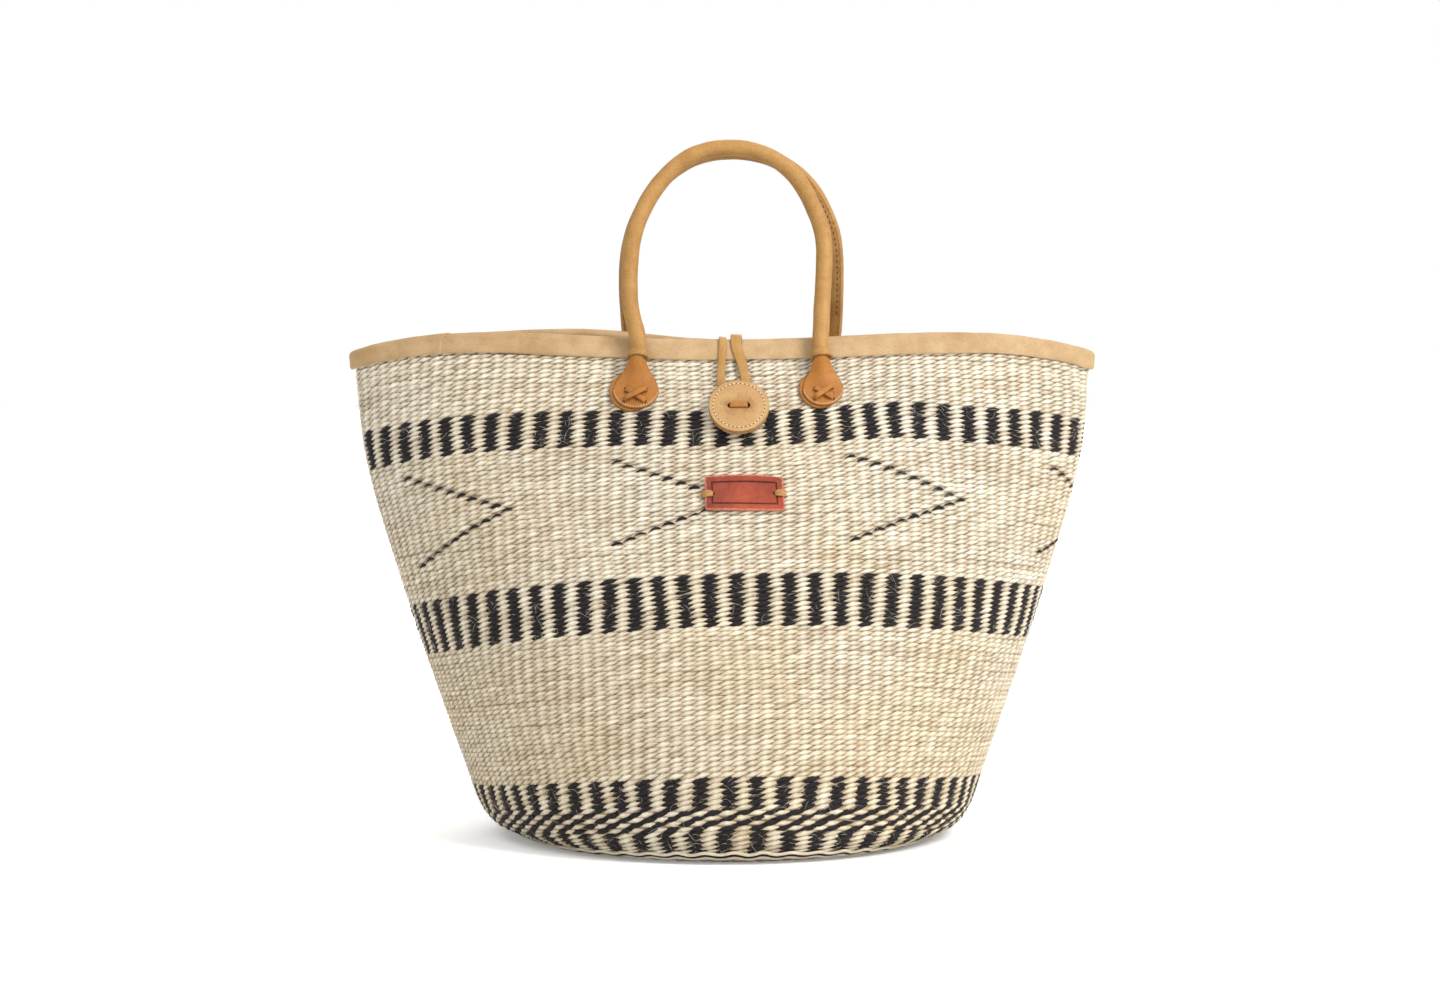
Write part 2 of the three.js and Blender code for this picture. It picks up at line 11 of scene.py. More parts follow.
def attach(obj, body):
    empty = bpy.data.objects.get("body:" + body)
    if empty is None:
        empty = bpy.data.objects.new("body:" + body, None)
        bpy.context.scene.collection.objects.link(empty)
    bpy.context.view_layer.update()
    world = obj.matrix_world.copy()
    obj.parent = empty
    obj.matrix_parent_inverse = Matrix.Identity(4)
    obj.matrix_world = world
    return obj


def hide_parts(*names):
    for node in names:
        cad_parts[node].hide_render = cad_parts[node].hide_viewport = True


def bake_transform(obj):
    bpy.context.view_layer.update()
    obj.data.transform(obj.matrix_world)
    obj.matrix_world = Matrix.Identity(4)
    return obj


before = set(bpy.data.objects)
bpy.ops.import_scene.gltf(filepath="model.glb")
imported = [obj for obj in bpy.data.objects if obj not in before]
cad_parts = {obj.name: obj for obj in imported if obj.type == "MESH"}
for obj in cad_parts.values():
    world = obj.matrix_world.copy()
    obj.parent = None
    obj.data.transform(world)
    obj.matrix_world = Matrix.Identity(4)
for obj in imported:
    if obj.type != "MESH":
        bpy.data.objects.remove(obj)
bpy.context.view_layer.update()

chance = np.random.default_rng(11)
mm = 0.001

# The photograph's frame and viewing angle, and how far right of its middle the binding laps
photo_width = 1440
sensor_width = 36
focal_pixels = 3090
centre_shift_pixels = 2
lap_pixels = -277
camera_distance = 2163 * mm
camera_height = 351 * mm
camera_pitch = 0.054

# Sizes shared with the frame's source
basket_height = 342 * mm
mouth_width = 522 * mm
mouth_depth = 92 * mm
body_depth = 300 * mm
base_radius = 125 * mm
wall_thickness = 5 * mm
floor_thickness = 5 * mm
rim_peak_rise = 5 * mm
rim_end_drop = 7 * mm
mouth_section_power = 1.4
end_inset_share = 1.5
gap = 0.3 * mm
leather_thickness = 1.6 * mm
binding_drop = 9.6 * mm
binding_stand = gap + leather_thickness
handle_radius = 5.75 * mm
rope_radius = 3.7 * mm
handle_rise = 131.5 * mm
handle_height = basket_height - 10 * mm
front_handle_spacing = 125 * mm
rear_handle_spacing = 146 * mm
front_handle_offset = 5 * mm
rear_handle_offset = 7 * mm
handle_lean = math.radians(13)
neck_radius = 5.2 * mm
collar_height = 6 * mm
collar_thickness = 1.5 * mm
collar_radius = neck_radius + gap + collar_thickness
neck_top = collar_height / 2 + 11 * mm
neck_level = binding_stand + gap + collar_radius + gap
leaf_half_width = 17 * mm
leaf_length = 39 * mm
backing_half_width = 16.5 * mm
backing_half_length = 15.5 * mm
backing_shift = 3 * mm
lacing_span = (15 * mm, 9 * mm)
lacing_below_collar = 29 * mm
lacing_width = 3.5 * mm
lacing_thickness = 1.4 * mm
backing_level = gap
leaf_level = backing_level + leather_thickness + gap
lacing_level = leaf_level + leather_thickness + gap
crossing_level = lacing_level + lacing_thickness + gap
button_radius = 20.5 * mm
button_height = basket_height - 44.5 * mm
button_offset = 11 * mm
button_stand_off = 4.2 * mm
button_tilt = math.radians(5)
button_disc_thickness = 2 * mm
button_hole_spacing = 11 * mm
button_hole_radius = 2.3 * mm
button_thong_width = 4 * mm
button_thong_thickness = 1.6 * mm
button_shank_radius = 2.2 * mm
knot_radius = 6.5 * mm
knot_thickness = 5 * mm
stitch_inset = 3 * mm
loop_width = 5 * mm
loop_top_offset = 4.6 * mm
loop_top_spacing = 8.4 * mm
loop_belly_spacing = 17.4 * mm
loop_belly_above_button = 17 * mm
loop_rear_height = basket_height - 34 * mm
loop_sag = 1.5 * mm
patch_width = 52 * mm
patch_height = 24 * mm
patch_bow = 1.8 * mm
patch_thickness = 1.8 * mm
patch_offset = 14 * mm
patch_centre_height = button_height - 54.5 * mm
tie_span = 7 * mm

# Small ways in which the photograph's basket leaves the plain shapes of the source
rear_rim_rise = 4.5 * mm
rear_rim_reach = 90 * mm
end_draw = 3.2 * mm
base_lean = 4.2 * mm

# Shape of the wall: share of the height, of the way out to the mouth's width, of the way out to
# the body's depth, and of the way back in to the mouth's depth
wall_shares = np.array([
    (0, 0, 0, 0),
    (0.013, 0.17, 0.45, 0),
    (0.035, 0.29, 0.76, 0),
    (0.072, 0.352, 0.94, 0),
    (0.145, 0.418, 1, 0),
    (0.35, 0.597, 1, 0.067),
    (0.555, 0.764, 1, 0.27),
    (0.785, 0.929, 1, 0.615),
    (1, 1, 1, 1),
])
wall_profile = np.stack([
    base_radius + wall_shares[:, 1] * (mouth_width / 2 - base_radius),
    base_radius + wall_shares[:, 2] * (body_depth / 2 - base_radius)
    - wall_shares[:, 3] * (body_depth - mouth_depth) / 2,
    wall_shares[:, 0] * basket_height,
], 1)
wave_rise = 2 * (rim_peak_rise + math.sqrt(rim_peak_rise * (rim_peak_rise + rim_end_drop)))
wave_fall = wave_rise + rim_end_drop


def curve_through(points, shares):
    """Points of the smooth curve that the frame's source draws through given points."""
    points = np.asarray(points, float)
    steps = len(points) - 1
    longer = np.vstack([2 * points[0] - points[1], points, 2 * points[-1] - points[-2]])
    place = np.clip(np.atleast_1d(np.asarray(shares, float)), 0, 1) * steps
    step = np.minimum(place.astype(int), steps - 1)
    way = (place - step)[:, None]
    before, start, end, after = (longer[step + k] for k in range(4))
    spread = [np.maximum(((b - a) ** 2).sum(1), 1e-12)[:, None] ** 0.25
              for a, b in ((before, start), (start, end), (end, after))]
    leave = (start - before) / spread[0] - (end - before) / (spread[0] + spread[1])
    leave = (leave + (end - start) / spread[1]) * spread[1]
    arrive = (end - start) / spread[1] - (after - start) / (spread[1] + spread[2])
    arrive = (arrive + (after - end) / spread[2]) * spread[1]
    square = 3 * (end - start) - 2 * leave - arrive
    cube = 2 * (start - end) + leave + arrive
    return start + leave * way + square * way**2 + cube * way**3


def unit(vectors):
    return vectors / np.maximum(np.linalg.norm(vectors, axis=-1, keepdims=True), 1e-12)


def together(*parts):
    """Matching values, or single ones, put together as points or vectors."""
    return np.stack(np.broadcast_arrays(*parts), -1)


def run_along(line):
    """The distance along a line at each of its points."""
    return np.concatenate([[0], np.cumsum(np.linalg.norm(np.diff(line, axis=0), axis=1))])


def full_turn(count):
    return 2 * math.pi * np.arange(count) / count


def bell(place, middle, width):
    """A smooth hump, 1 at its middle."""
    return np.exp(-(((place - middle) / width) ** 2))


def signed_power(values, power):
    return np.sign(values) * np.abs(values) ** power


def moved(matrix, points):
    points = np.asarray(points, float)
    return points @ matrix[:3, :3].T + matrix[:3, 3]


def wall_point(angle, share, inset=0.0):
    """Points of the wall, angle 0 at the front and a quarter turn at the right-hand end."""
    angle, share, inset = np.broadcast_arrays(angle, share, inset)
    profile = curve_through(wall_profile, share.ravel()).reshape(share.shape + (3,))
    across = np.sin(angle)
    along = np.cos(angle)
    power = 1 + (mouth_section_power - 1) * share**2
    x = (profile[..., 0] - inset * end_inset_share - end_draw * share**8) * across + base_lean * (1 - share)
    y = -(profile[..., 1] - inset) * signed_power(along, power)
    wave = wave_rise * across**2 - wave_fall * across**4
    near = np.clip((x + rear_rim_reach) / rear_rim_reach, -1, 1)
    rear = rear_rim_rise * np.cos(near * math.pi / 2) ** 2 * np.clip(-along * 4, 0, 1)
    return np.stack([x, y, profile[..., 2] + wave * share**2 + rear * share**14], -1)


def front_spots(x, shares):
    """Points of the front of the wall at a place across it, for shares of its height."""
    half_width = curve_through(wall_profile, shares)[:, 0]
    return wall_point(np.arcsin(np.clip(x / half_width, -1, 1)), shares)


def wall_frame(x, height, turned=False):
    """A frame on the wall's outer face: X along it, Y up the slope and Z out of the basket."""
    probe = wall_thickness / 10
    probe_share = 0.002
    shares = np.linspace(0, 1, 1201)
    share = np.interp(height, front_spots(x, shares)[:, 2], shares)
    spot = lambda place, level: front_spots(place, np.array([level]))[0]
    right = unit(spot(x + probe, share) - spot(x - probe, share))
    slope = spot(x, share + probe_share) - spot(x, share - probe_share)
    outward = unit(np.cross(right, slope))
    made = np.eye(4)
    made[:3, 0] = right
    made[:3, 1] = np.cross(outward, right)
    made[:3, 2] = outward
    made[:3, 3] = spot(x, share)
    return np.diag([-1.0, -1.0, 1.0, 1.0]) @ made if turned else made


# Weave: rows lie one pitch apart up the slope, ribs are warps at equal shares of the way round
row_pitch = 3.25 * mm
heel_row_pitch = 3.6 * mm
upper_ribs = 126
heel_ribs = 114
foot_ribs = 98
heel_top = 197 * mm
foot_top = 161 * mm
rim_reach = 500.7 * mm
crest = 0.4 * mm
stitch_fall = 0.95 * mm
stitch_plump = 0.8 * mm
stitch_reach = 0.92
warp_depth = 1.25 * mm

# Bands of the weave, as distances up the slope from the middle of the base
band_levels = {
    "upper": (428 * mm, 451.5 * mm),
    "middle": (298 * mm, 331 * mm),
    "heel": (176 * mm, 196 * mm),
    "swirl": (161 * mm, 176 * mm),
    "foot": (144 * mm, 161 * mm),
    "edge": (134 * mm, 144 * mm),
}
chevron_count = 7
chevron_level = 385 * mm
chevron_reach = 9

# The rows lean and dip a little where the maker pulled them: distance up the slope, lean, dip
row_drift = np.array([
    (125, 0, 0),
    (186, 1.5, 2),
    (314, 5.4, 0.5),
    (440, 2.7, 3.4),
]) * mm
slack_from = 350 * mm
slack_climb = 80 * mm
grid_columns = 252
grid_rows = 164


def drifted(levels, angle):
    """How far the rows have drifted up the slope, with a slack and a tight place in the front."""
    lean = np.interp(levels, row_drift[:, 0], row_drift[:, 1])
    dip = np.interp(levels, row_drift[:, 0], row_drift[:, 2])
    turn = (angle + math.pi) % (2 * math.pi) - math.pi
    slack = 2.8 * bell(turn, 0.5, 0.17) - 2.6 * bell(turn, 0.06, 0.2)
    high = np.clip((levels - slack_from) / slack_climb, 0, 1)
    return lean * np.sin(angle) + dip * np.sin(angle) ** 2 + slack * high * mm


def weave_lines():
    """Angle and share of the wall's height for each rib line and row level of a fine grid."""
    shares = np.linspace(0, 1, 181)
    angles = np.linspace(0, 2 * math.pi, 721)
    section = wall_point(angles[None, :], shares[:, None])
    steps = np.linalg.norm(np.diff(section, axis=1), axis=2)
    run = np.concatenate([np.zeros((len(shares), 1)), np.cumsum(steps, 1)], 1)
    ways = np.linspace(0, 1, grid_columns + 1)
    rib_angle = np.stack([np.interp(ways * row[-1], row, angles) for row in run])
    rib_line = wall_point(rib_angle, shares[:, None])
    climb = np.linalg.norm(np.diff(rib_line, axis=0), axis=2)
    reach = base_radius + np.concatenate([np.zeros((1, grid_columns + 1)), np.cumsum(climb, 0)])
    levels = np.linspace(0, rim_reach, grid_rows + 1)
    top_blend = np.clip((levels - band_levels["upper"][1]) / (rim_reach - band_levels["upper"][1]), 0, 1)
    level_angle = np.zeros((len(levels), grid_columns + 1))
    level_share = np.zeros_like(level_angle)
    for j in range(grid_columns + 1):
        angle = np.interp(levels, reach[:, j], rib_angle[:, j])
        drift = drifted(levels, angle) * (1 - top_blend) + (reach[-1, j] - rim_reach) * top_blend
        level_share[:, j] = np.interp(levels + drift, reach[:, j], shares)
        level_angle[:, j] = np.interp(level_share[:, j], shares, rib_angle[:, j])
    return levels, level_angle, level_share


class WovenFace:
    """One face of the basket. A place is a share of the way round, a level and a height off it."""

    def __init__(self, lines, inside):
        levels, angle, share = lines
        inset = wall_thickness if inside else 0.0
        lift = floor_thickness * (1 - share) ** 2 if inside else np.zeros_like(share)
        points = wall_point(angle, share, inset)
        points[..., 2] += lift
        base = levels < base_radius
        turn = 2 * math.pi * np.linspace(0, 1, grid_columns + 1)
        edge = wall_point(turn, np.zeros_like(turn), inset)
        shrink = (levels[base] / base_radius)[:, None]
        points[base, :, 0] = shrink * edge[None, :, 0]
        points[base, :, 1] = shrink * edge[None, :, 1]
        points[base, :, 2] = floor_thickness if inside else 0.0
        around = np.concatenate([points[:, -2:-1], points, points[:, 1:2]], 1)
        right = (around[:, 2:] - around[:, :-2])
        upward = np.gradient(points, axis=0)
        outward = unit(np.cross(right, upward))
        outward[0] = outward[1]
        self.points = points
        self.outward = -outward if inside else outward

    def place(self, around, level, height):
        column = np.mod(around, 1.0) * grid_columns
        row = np.clip(level / rim_reach, 0, 1) * grid_rows
        j = np.minimum(column.astype(int), grid_columns - 1)
        i = np.minimum(row.astype(int), grid_rows - 1)
        u = (column - j)[..., None]
        v = (row - i)[..., None]

        def mixed(grid):
            low = grid[i, j] * (1 - u) + grid[i, j + 1] * u
            high = grid[i + 1, j] * (1 - u) + grid[i + 1, j + 1] * u
            return low * (1 - v) + high * v

        outward = unit(mixed(self.outward))
        return mixed(self.points) + outward * np.asarray(height)[..., None]


# Node trees
def node(tree, kind, inputs=None, **settings):
    """A node whose inputs take a value each, or a link where the value is another socket."""
    made = tree.nodes.new(kind)
    for name, value in settings.items():
        setattr(made, name, value)
    for name, value in (inputs or {}).items():
        if isinstance(value, bpy.types.NodeSocket):
            tree.links.new(value, made.inputs[name])
        else:
            made.inputs[name].default_value = value
    return made


def maths(tree, operation, first, second=0.0, clamp=False):
    made = node(tree, "ShaderNodeMath", {0: first, 1: second}, operation=operation, use_clamp=clamp)
    return made.outputs[0]


def blended(tree, amount, first, second, mode="MIX"):
    inputs = {0: amount, 6: first, 7: second}
    return node(tree, "ShaderNodeMix", inputs, data_type="RGBA", blend_type=mode).outputs[2]


def ranged(tree, value, low, high, to_low=0.0, to_high=1.0):
    inputs = {"Value": value, "From Min": low, "From Max": high, "To Min": to_low, "To Max": to_high}
    return node(tree, "ShaderNodeMapRange", inputs).outputs[0]


def noise(tree, place, scale, detail, roughness=0.5):
    inputs = {"Vector": place, "Scale": scale, "Detail": detail, "Roughness": roughness}
    return node(tree, "ShaderNodeTexNoise", inputs).outputs[0]


def own_place(tree):
    return node(tree, "ShaderNodeTexCoord").outputs["Object"]


def attribute(tree, name, output="Fac"):
    return node(tree, "ShaderNodeAttribute", attribute_name=name, attribute_type="GEOMETRY").outputs[output]


def colour(red, green, blue):
    """A colour as it is seen on screen, turned into the linear values that a shader takes."""
    seen = np.array([red, green, blue]) / 255
    linear = np.where(seen <= 0.04045, seen / 12.92, ((seen + 0.055) / 1.055) ** 2.4)
    return (*linear.tolist(), 1.0)


def new_group(name, **inputs):
    """A node group. Its inputs are numbers, or vectors where the default has three parts."""
    tree = bpy.data.node_groups.new(name, "ShaderNodeTree")
    for label, value in inputs.items():
        kind = "NodeSocketVector" if isinstance(value, tuple) else "NodeSocketFloat"
        tree.interface.new_socket(label, in_out="INPUT", socket_type=kind).default_value = value
    return tree, tree.nodes.new("NodeGroupInput").outputs


def given_out(tree, **outputs):
    """The group puts these out, all of them numbers that change over the surface."""
    for label in outputs:
        tree.interface.new_socket(label, in_out="OUTPUT", socket_type="NodeSocketFloat")
    node(tree, "NodeGroupOutput", outputs)
    return tree


def placed_group(tree, group, **inputs):
    return node(tree, "ShaderNodeGroup", inputs, node_tree=group).outputs


def fibre_group():
    """Long fine streaks along a strand, whose coordinates the piece carries as an attribute."""
    tree, given = new_group("Strand fibres", Strand=(0, 0, 0), Length=9 * mm, Width=0.5 * mm)
    along = maths(tree, "DIVIDE", 1.0, given["Length"])
    across = maths(tree, "DIVIDE", 1.0, given["Width"])
    scale = node(tree, "ShaderNodeCombineXYZ", {0: along, 1: across, 2: across}).outputs[0]
    stretch = {0: given["Strand"], 1: scale}
    spread = node(tree, "ShaderNodeVectorMath", stretch, operation="MULTIPLY").outputs[0]
    streaks = ranged(tree, noise(tree, spread, 1.0, 2.0), 0.3, 0.7)
    fine = maths(tree, "MULTIPLY", noise(tree, spread, 2.6, 1.0), 0.5)
    height = maths(tree, "ADD", maths(tree, "MULTIPLY", streaks, 0.6), fine)
    return given_out(tree, Streaks=streaks, Height=height)


def drift_group():
    """Slow changes of tone over a piece, a warm share and a dark share."""
    tree, given = new_group("Tone drift", Size=60 * mm)
    place = own_place(tree)
    scale = maths(tree, "DIVIDE", 1.0, given["Size"])
    aside = node(tree, "ShaderNodeMapping", {"Vector": place, "Location": (0.7, 0.3, 1.9)}).outputs[0]
    warm = ranged(tree, noise(tree, place, scale, 2.0), 0.35, 0.65)
    dark = ranged(tree, noise(tree, aside, scale, 3.0), 0.4, 0.7)
    return given_out(tree, Warm=warm, Dark=dark)


def grain_group():
    """Pebbled leather grain with fine creases, as a height, with a mottled stain and pores."""
    tree, given = new_group("Leather grain", Pebble=1.1 * mm, Crease=0.4)
    place = own_place(tree)
    scale = maths(tree, "DIVIDE", 1.0, given["Pebble"])
    cells = node(tree, "ShaderNodeTexVoronoi", {"Vector": place, "Scale": scale}, feature="F1")
    away = cells.outputs["Distance"]
    fold = maths(tree, "ABSOLUTE", maths(tree, "SUBTRACT", noise(tree, place, 260.0, 4.0), 0.5))
    crease = maths(tree, "MULTIPLY", maths(tree, "MULTIPLY", fold, 6.0, True), given["Crease"])
    height = maths(tree, "ADD", maths(tree, "SUBTRACT", 1.0, away), crease)
    mottle = ranged(tree, noise(tree, place, 75.0, 5.0, 0.6), 0.36, 0.66)
    return given_out(tree, Height=height, Mottle=mottle, Pores=ranged(tree, away, 0.55, 0.9))


def wear_group():
    """Wear where a piece's own edge attribute says that it is handled, broken up by noise."""
    tree, given = new_group("Edge wear", Edge=0.0, Breakup=420.0)
    patches = noise(tree, own_place(tree), given["Breakup"], 4.0)
    rough = maths(tree, "ADD", given["Edge"], maths(tree, "SUBTRACT", patches, 0.5))
    return given_out(tree, Worn=ranged(tree, rough, 0.45, 0.95))


def new_material(name):
    made = bpy.data.materials.new(name)
    made.use_nodes = True
    shader = made.node_tree.nodes["Principled BSDF"]
    shader.inputs["Specular IOR Level"].default_value = 0.35
    return made, made.node_tree, shader


def finish_shader(tree, shader, base, rough, height, depth):
    tree.links.new(base, shader.inputs["Base Color"])
    tree.links.new(rough, shader.inputs["Roughness"])
    bump = node(tree, "ShaderNodeBump", {"Height": height, "Distance": depth, "Strength": 1.0})
    tree.links.new(bump.outputs[0], shader.inputs["Normal"])


def sisal_material(name, groups, sheen):
    """Twined strands, cream and dyed black, each lighter along some of its fibres."""
    made, tree, shader = new_material(name)
    cream_light = colour(255, 251, 236)
    cream_deep = colour(160, 132, 92)
    cream_warm = colour(255, 242, 212)
    black_light = colour(46, 31, 36)
    black_deep = colour(10, 4, 7)
    strand = attribute(tree, "strand", "Vector")
    streaks, height = placed_group(tree, groups["fibres"], Strand=strand, Length=7 * mm, Width=0.42 * mm)
    warm = placed_group(tree, groups["drift"], Size=85 * mm)["Warm"]
    # The tone attribute holds each strand's own random tone, lowered by painted shade at the stitch tips and
    # undersides and over the warp shell
    tone = maths(tree, "MULTIPLY", attribute(tree, "tone"), 0.9)
    lightness = maths(tree, "ADD", maths(tree, "MULTIPLY", streaks, 0.34), tone, True)
    cream = blended(tree, lightness, cream_deep, cream_light)
    cream = blended(tree, maths(tree, "MULTIPLY", warm, 0.3), cream, cream_warm, "MULTIPLY")
    level = node(tree, "ShaderNodeSeparateXYZ", {0: own_place(tree)}).outputs["Z"]
    cream = blended(tree, ranged(tree, level, 0.3, 0.05, 0.0, 0.3), cream, cream_warm, "MULTIPLY")
    bright = maths(tree, "MULTIPLY", maths(tree, "POWER", streaks, 2.2), 0.8)
    black = blended(tree, bright, black_deep, black_light)
    base = blended(tree, attribute(tree, "dye"), cream, black)
    rough = ranged(tree, streaks, 0.0, 1.0, 0.72, 0.5)
    finish_shader(tree, shader, base, rough, height, 0.35 * mm)
    shader.inputs["Sheen Weight"].default_value = sheen
    shader.inputs["Sheen Roughness"].default_value = 0.5
    return made


def strand_material(name, groups, light, deep, length, width, rough_value):
    """Thread, raffia and rope: one tone with long fibre streaks."""
    made, tree, shader = new_material(name)
    strand = attribute(tree, "strand", "Vector")
    streaks, height = placed_group(tree, groups["fibres"], Strand=strand, Length=length, Width=width)
    warm, dark = placed_group(tree, groups["drift"], Size=18 * mm)
    base = blended(tree, streaks, deep, light)
    base = blended(tree, maths(tree, "MULTIPLY", dark, 0.35), base, deep)
    rough = ranged(tree, warm, 0.0, 1.0, rough_value, rough_value - 0.12)
    finish_shader(tree, shader, base, rough, height, width * 0.4)
    return made


def leather_material(name, groups, light, deep, edge, pebble, rough_low, rough_high, depth):
    """Vegetable-tanned leather: mottled stain, pores, grain, and paler or darker worn edges."""
    made, tree, shader = new_material(name)
    height, mottle, pores = placed_group(tree, groups["grain"], Pebble=pebble, Crease=0.4)
    dark = placed_group(tree, groups["drift"], Size=42 * mm)["Dark"]
    worn = placed_group(tree, groups["wear"], Edge=attribute(tree, "edge"), Breakup=420.0)[0]
    stain = maths(tree, "ADD", maths(tree, "MULTIPLY", mottle, 0.5), maths(tree, "MULTIPLY", dark, 0.45))
    base = blended(tree, stain, light, deep)
    base = blended(tree, maths(tree, "MULTIPLY", pores, 0.3), base, deep, "MULTIPLY")
    base = blended(tree, maths(tree, "MULTIPLY", worn, 0.75), base, edge)
    rough = ranged(tree, maths(tree, "ADD", mottle, worn), 0.0, 1.6, rough_low, rough_high)
    finish_shader(tree, shader, base, rough, height, depth)
    return made


def all_materials():
    """Every finish of the basket under its short name."""
    groups = {"fibres": fibre_group(), "drift": drift_group(), "grain": grain_group(), "wear": wear_group()}
    made = {"sisal": sisal_material("Twined sisal", groups, 0.03)}
    # Light, deep and edge colour, size of a pebble, least and most rough, and depth of the grain
    leathers = {
        "tan": ("Tan bridle leather", (182, 139, 78), (154, 109, 54), (124, 78, 40),
                0.9, 0.5, 0.7, 0.12),
        "golden": ("Golden foot leather", (181, 120, 50), (148, 90, 34), (100, 54, 24),
                0.9, 0.5, 0.7, 0.14),
        "button": ("Pale button leather", (192, 155, 104), (168, 126, 78), (138, 90, 50),
                0.8, 0.5, 0.7, 0.12),
        # The slit finish is painted shade in the lacing slits, awl holes and tie holes, and the dark colour
        # of the handle seams and the patch's tooled groove
        "slit": ("Painted hole shade and dark lines", (74, 38, 20), (42, 20, 12), (92, 52, 30),
                0.8, 0.6, 0.8, 0.05),
        "binding": ("Nubuck binding", (194, 164, 124), (166, 132, 88), (208, 180, 142),
                0.7, 0.7, 0.88, 0.1),
        "patch": ("Red-brown patch leather", (166, 70, 40), (100, 30, 18), (214, 132, 104),
                0.8, 0.4, 0.62, 0.2),
    }
    for label, (name, light, deep, edge, pebble, least, most, depth) in leathers.items():
        made[label] = leather_material(name, groups, colour(*light), colour(*deep), colour(*edge),
                                       pebble * mm, least, most, depth * mm)
    # Light and deep colour, length and width of the fibres, and how rough they are
    strands = {
        "thread": ("Waxed thread", (250, 240, 214), (214, 194, 156), 3, 0.22, 0.7),
        "raffia": ("Raffia", (206, 160, 100), (146, 98, 52), 6, 0.3, 0.7),
        "rope": ("Rope core", (214, 194, 150), (160, 136, 92), 5, 0.5, 0.85),
    }
    for label, (name, light, deep, length, width, rough) in strands.items():
        made[label] = strand_material(name, groups, colour(*light), colour(*deep),
                                      length * mm, width * mm, rough)
    return made


# Meshes
def as_mesh(name, shape):
    """A finished shape as a mesh. The shape itself is done with."""
    mesh = bpy.data.meshes.new(name)
    shape.to_mesh(mesh)
    shape.free()
    return mesh


def in_scene(name, data):
    made = bpy.data.objects.new(name, data)
    bpy.context.scene.collection.objects.link(made)
    return made


def keep(name, made, finish, stands_for=(), body="root", smooth=True):
    """A shape or mesh becomes a piece that stands for nodes of the frame and rides on a body."""
    mesh = as_mesh(name, made) if isinstance(made, bmesh.types.BMesh) else made
    mesh.polygons.foreach_set("use_smooth", np.full(len(mesh.polygons), smooth))
    for each in (finish,) if isinstance(finish, str) else finish:
        mesh.materials.append(materials[each])
    piece = in_scene(name, mesh)
    if stands_for:
        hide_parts(*stands_for)
    if body:
        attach(piece, body)
    return piece


def skin(rings, strand=None, edge=None, looped=False):
    """A closed skin over rings of points. Rings that shrink to a point need no cap."""
    count, sides = rings.shape[:2]
    last = count if looped else count - 1
    shape = bmesh.new()
    bmesh.ops.create_grid(shape, x_segments=sides, y_segments=last, size=1)
    strand_layer = shape.verts.layers.float_vector.new("strand")
    edge_layer = shape.verts.layers.float.new("edge")
    for corner in shape.verts:
        k = round((corner.co.x + 1) / 2 * sides) % sides
        i = round((corner.co.y + 1) / 2 * last) % count
        corner.co = rings[i, k]
        if strand is not None:
            corner[strand_layer] = strand[i, k]
        if edge is not None:
            corner[edge_layer] = edge[i, k]
    bmesh.ops.remove_doubles(shape, verts=shape.verts, dist=0.002 * mm)
    open_edges = [e for e in shape.edges if e.is_boundary]
    if open_edges:
        bmesh.ops.holes_fill(shape, edges=open_edges, sides=0)
    bmesh.ops.recalc_face_normals(shape, faces=shape.faces)
    return shape


def section(sides, squareness):
    """Points round a section from an ellipse, at 1, to nearly a rectangle, towards 0."""
    turn = full_turn(sides)
    return signed_power(np.cos(turn), squareness), signed_power(np.sin(turn), squareness)


def tube(centre, across, up, wide, high):
    """Rings of points round a line, each so far across it and so far up from it."""
    return centre[:, None] + across[:, None] * wide[..., None] + up[:, None] * high[..., None]


def swept(centre, side, half_width, half_thick, sides=12, squareness=0.55):
    """A strip along a line, its width along a given side. Its ends draw in to a rounded point."""
    count = len(centre)
    side = np.broadcast_to(side, centre.shape)
    tangent = unit(np.gradient(centre, axis=0))
    across = unit(side - (side * tangent).sum(1, keepdims=True) * tangent)
    drawn = np.ones(count)
    drawn[:3] *= (0, 0.35, 0.8)
    drawn[-3:] *= (0.8, 0.35, 0)
    cos, sin = section(sides, squareness)
    wide = (half_width * drawn)[:, None] * cos
    high = (half_thick * drawn)[:, None] * sin
    strand = together(run_along(centre)[:, None], wide, high + chance.random())
    edge = np.broadcast_to(np.abs(cos) ** 10, (count, sides))
    return skin(tube(centre, across, np.cross(tangent, across), wide, high), strand, edge)


def strap(matrix, points, count, side, *sizes):
    """A strip through a few points that are given in a frame of the wall."""
    return swept(moved(matrix, curve_through(points, np.linspace(0, 1, count))), side, *sizes)


def joined(shapes):
    """Several shapes become one, each staying a closed body of its own."""
    whole = bmesh.new()
    for shape in shapes:
        carrier = as_mesh("part", shape)
        whole.from_mesh(carrier)
        bpy.data.meshes.remove(carrier)
    return whole


def fill_layer(shape, name, value):
    layer = shape.verts.layers.float.new(name)
    for corner in shape.verts:
        corner[layer] = value


def thicken(shape, thickness):
    """A flat sheet gets its thickness."""
    lifted = bmesh.ops.extrude_face_region(shape, geom=shape.faces[:])["geom"]
    corners = [v for v in lifted if isinstance(v, bmesh.types.BMVert)]
    bmesh.ops.translate(shape, vec=(0, 0, thickness), verts=corners)
    bmesh.ops.recalc_face_normals(shape, faces=shape.faces)


def round_off(shape, edges, offset, segments):
    bmesh.ops.bevel(shape, geom=edges, offset=offset, segments=segments, profile=0.5,
                    affect="EDGES", material=-1)


def round_rim(shape, offset, segments):
    """The edges where a sheet's flat faces meet its side are rounded off."""
    rim = [e for e in shape.edges if len(e.link_faces) == 2
           and abs(e.link_faces[0].normal.z - e.link_faces[1].normal.z) > 0.5]
    round_off(shape, rim, offset, segments)


def put(shape, matrix):
    bmesh.ops.transform(shape, matrix=Matrix(matrix.tolist()), verts=shape.verts)


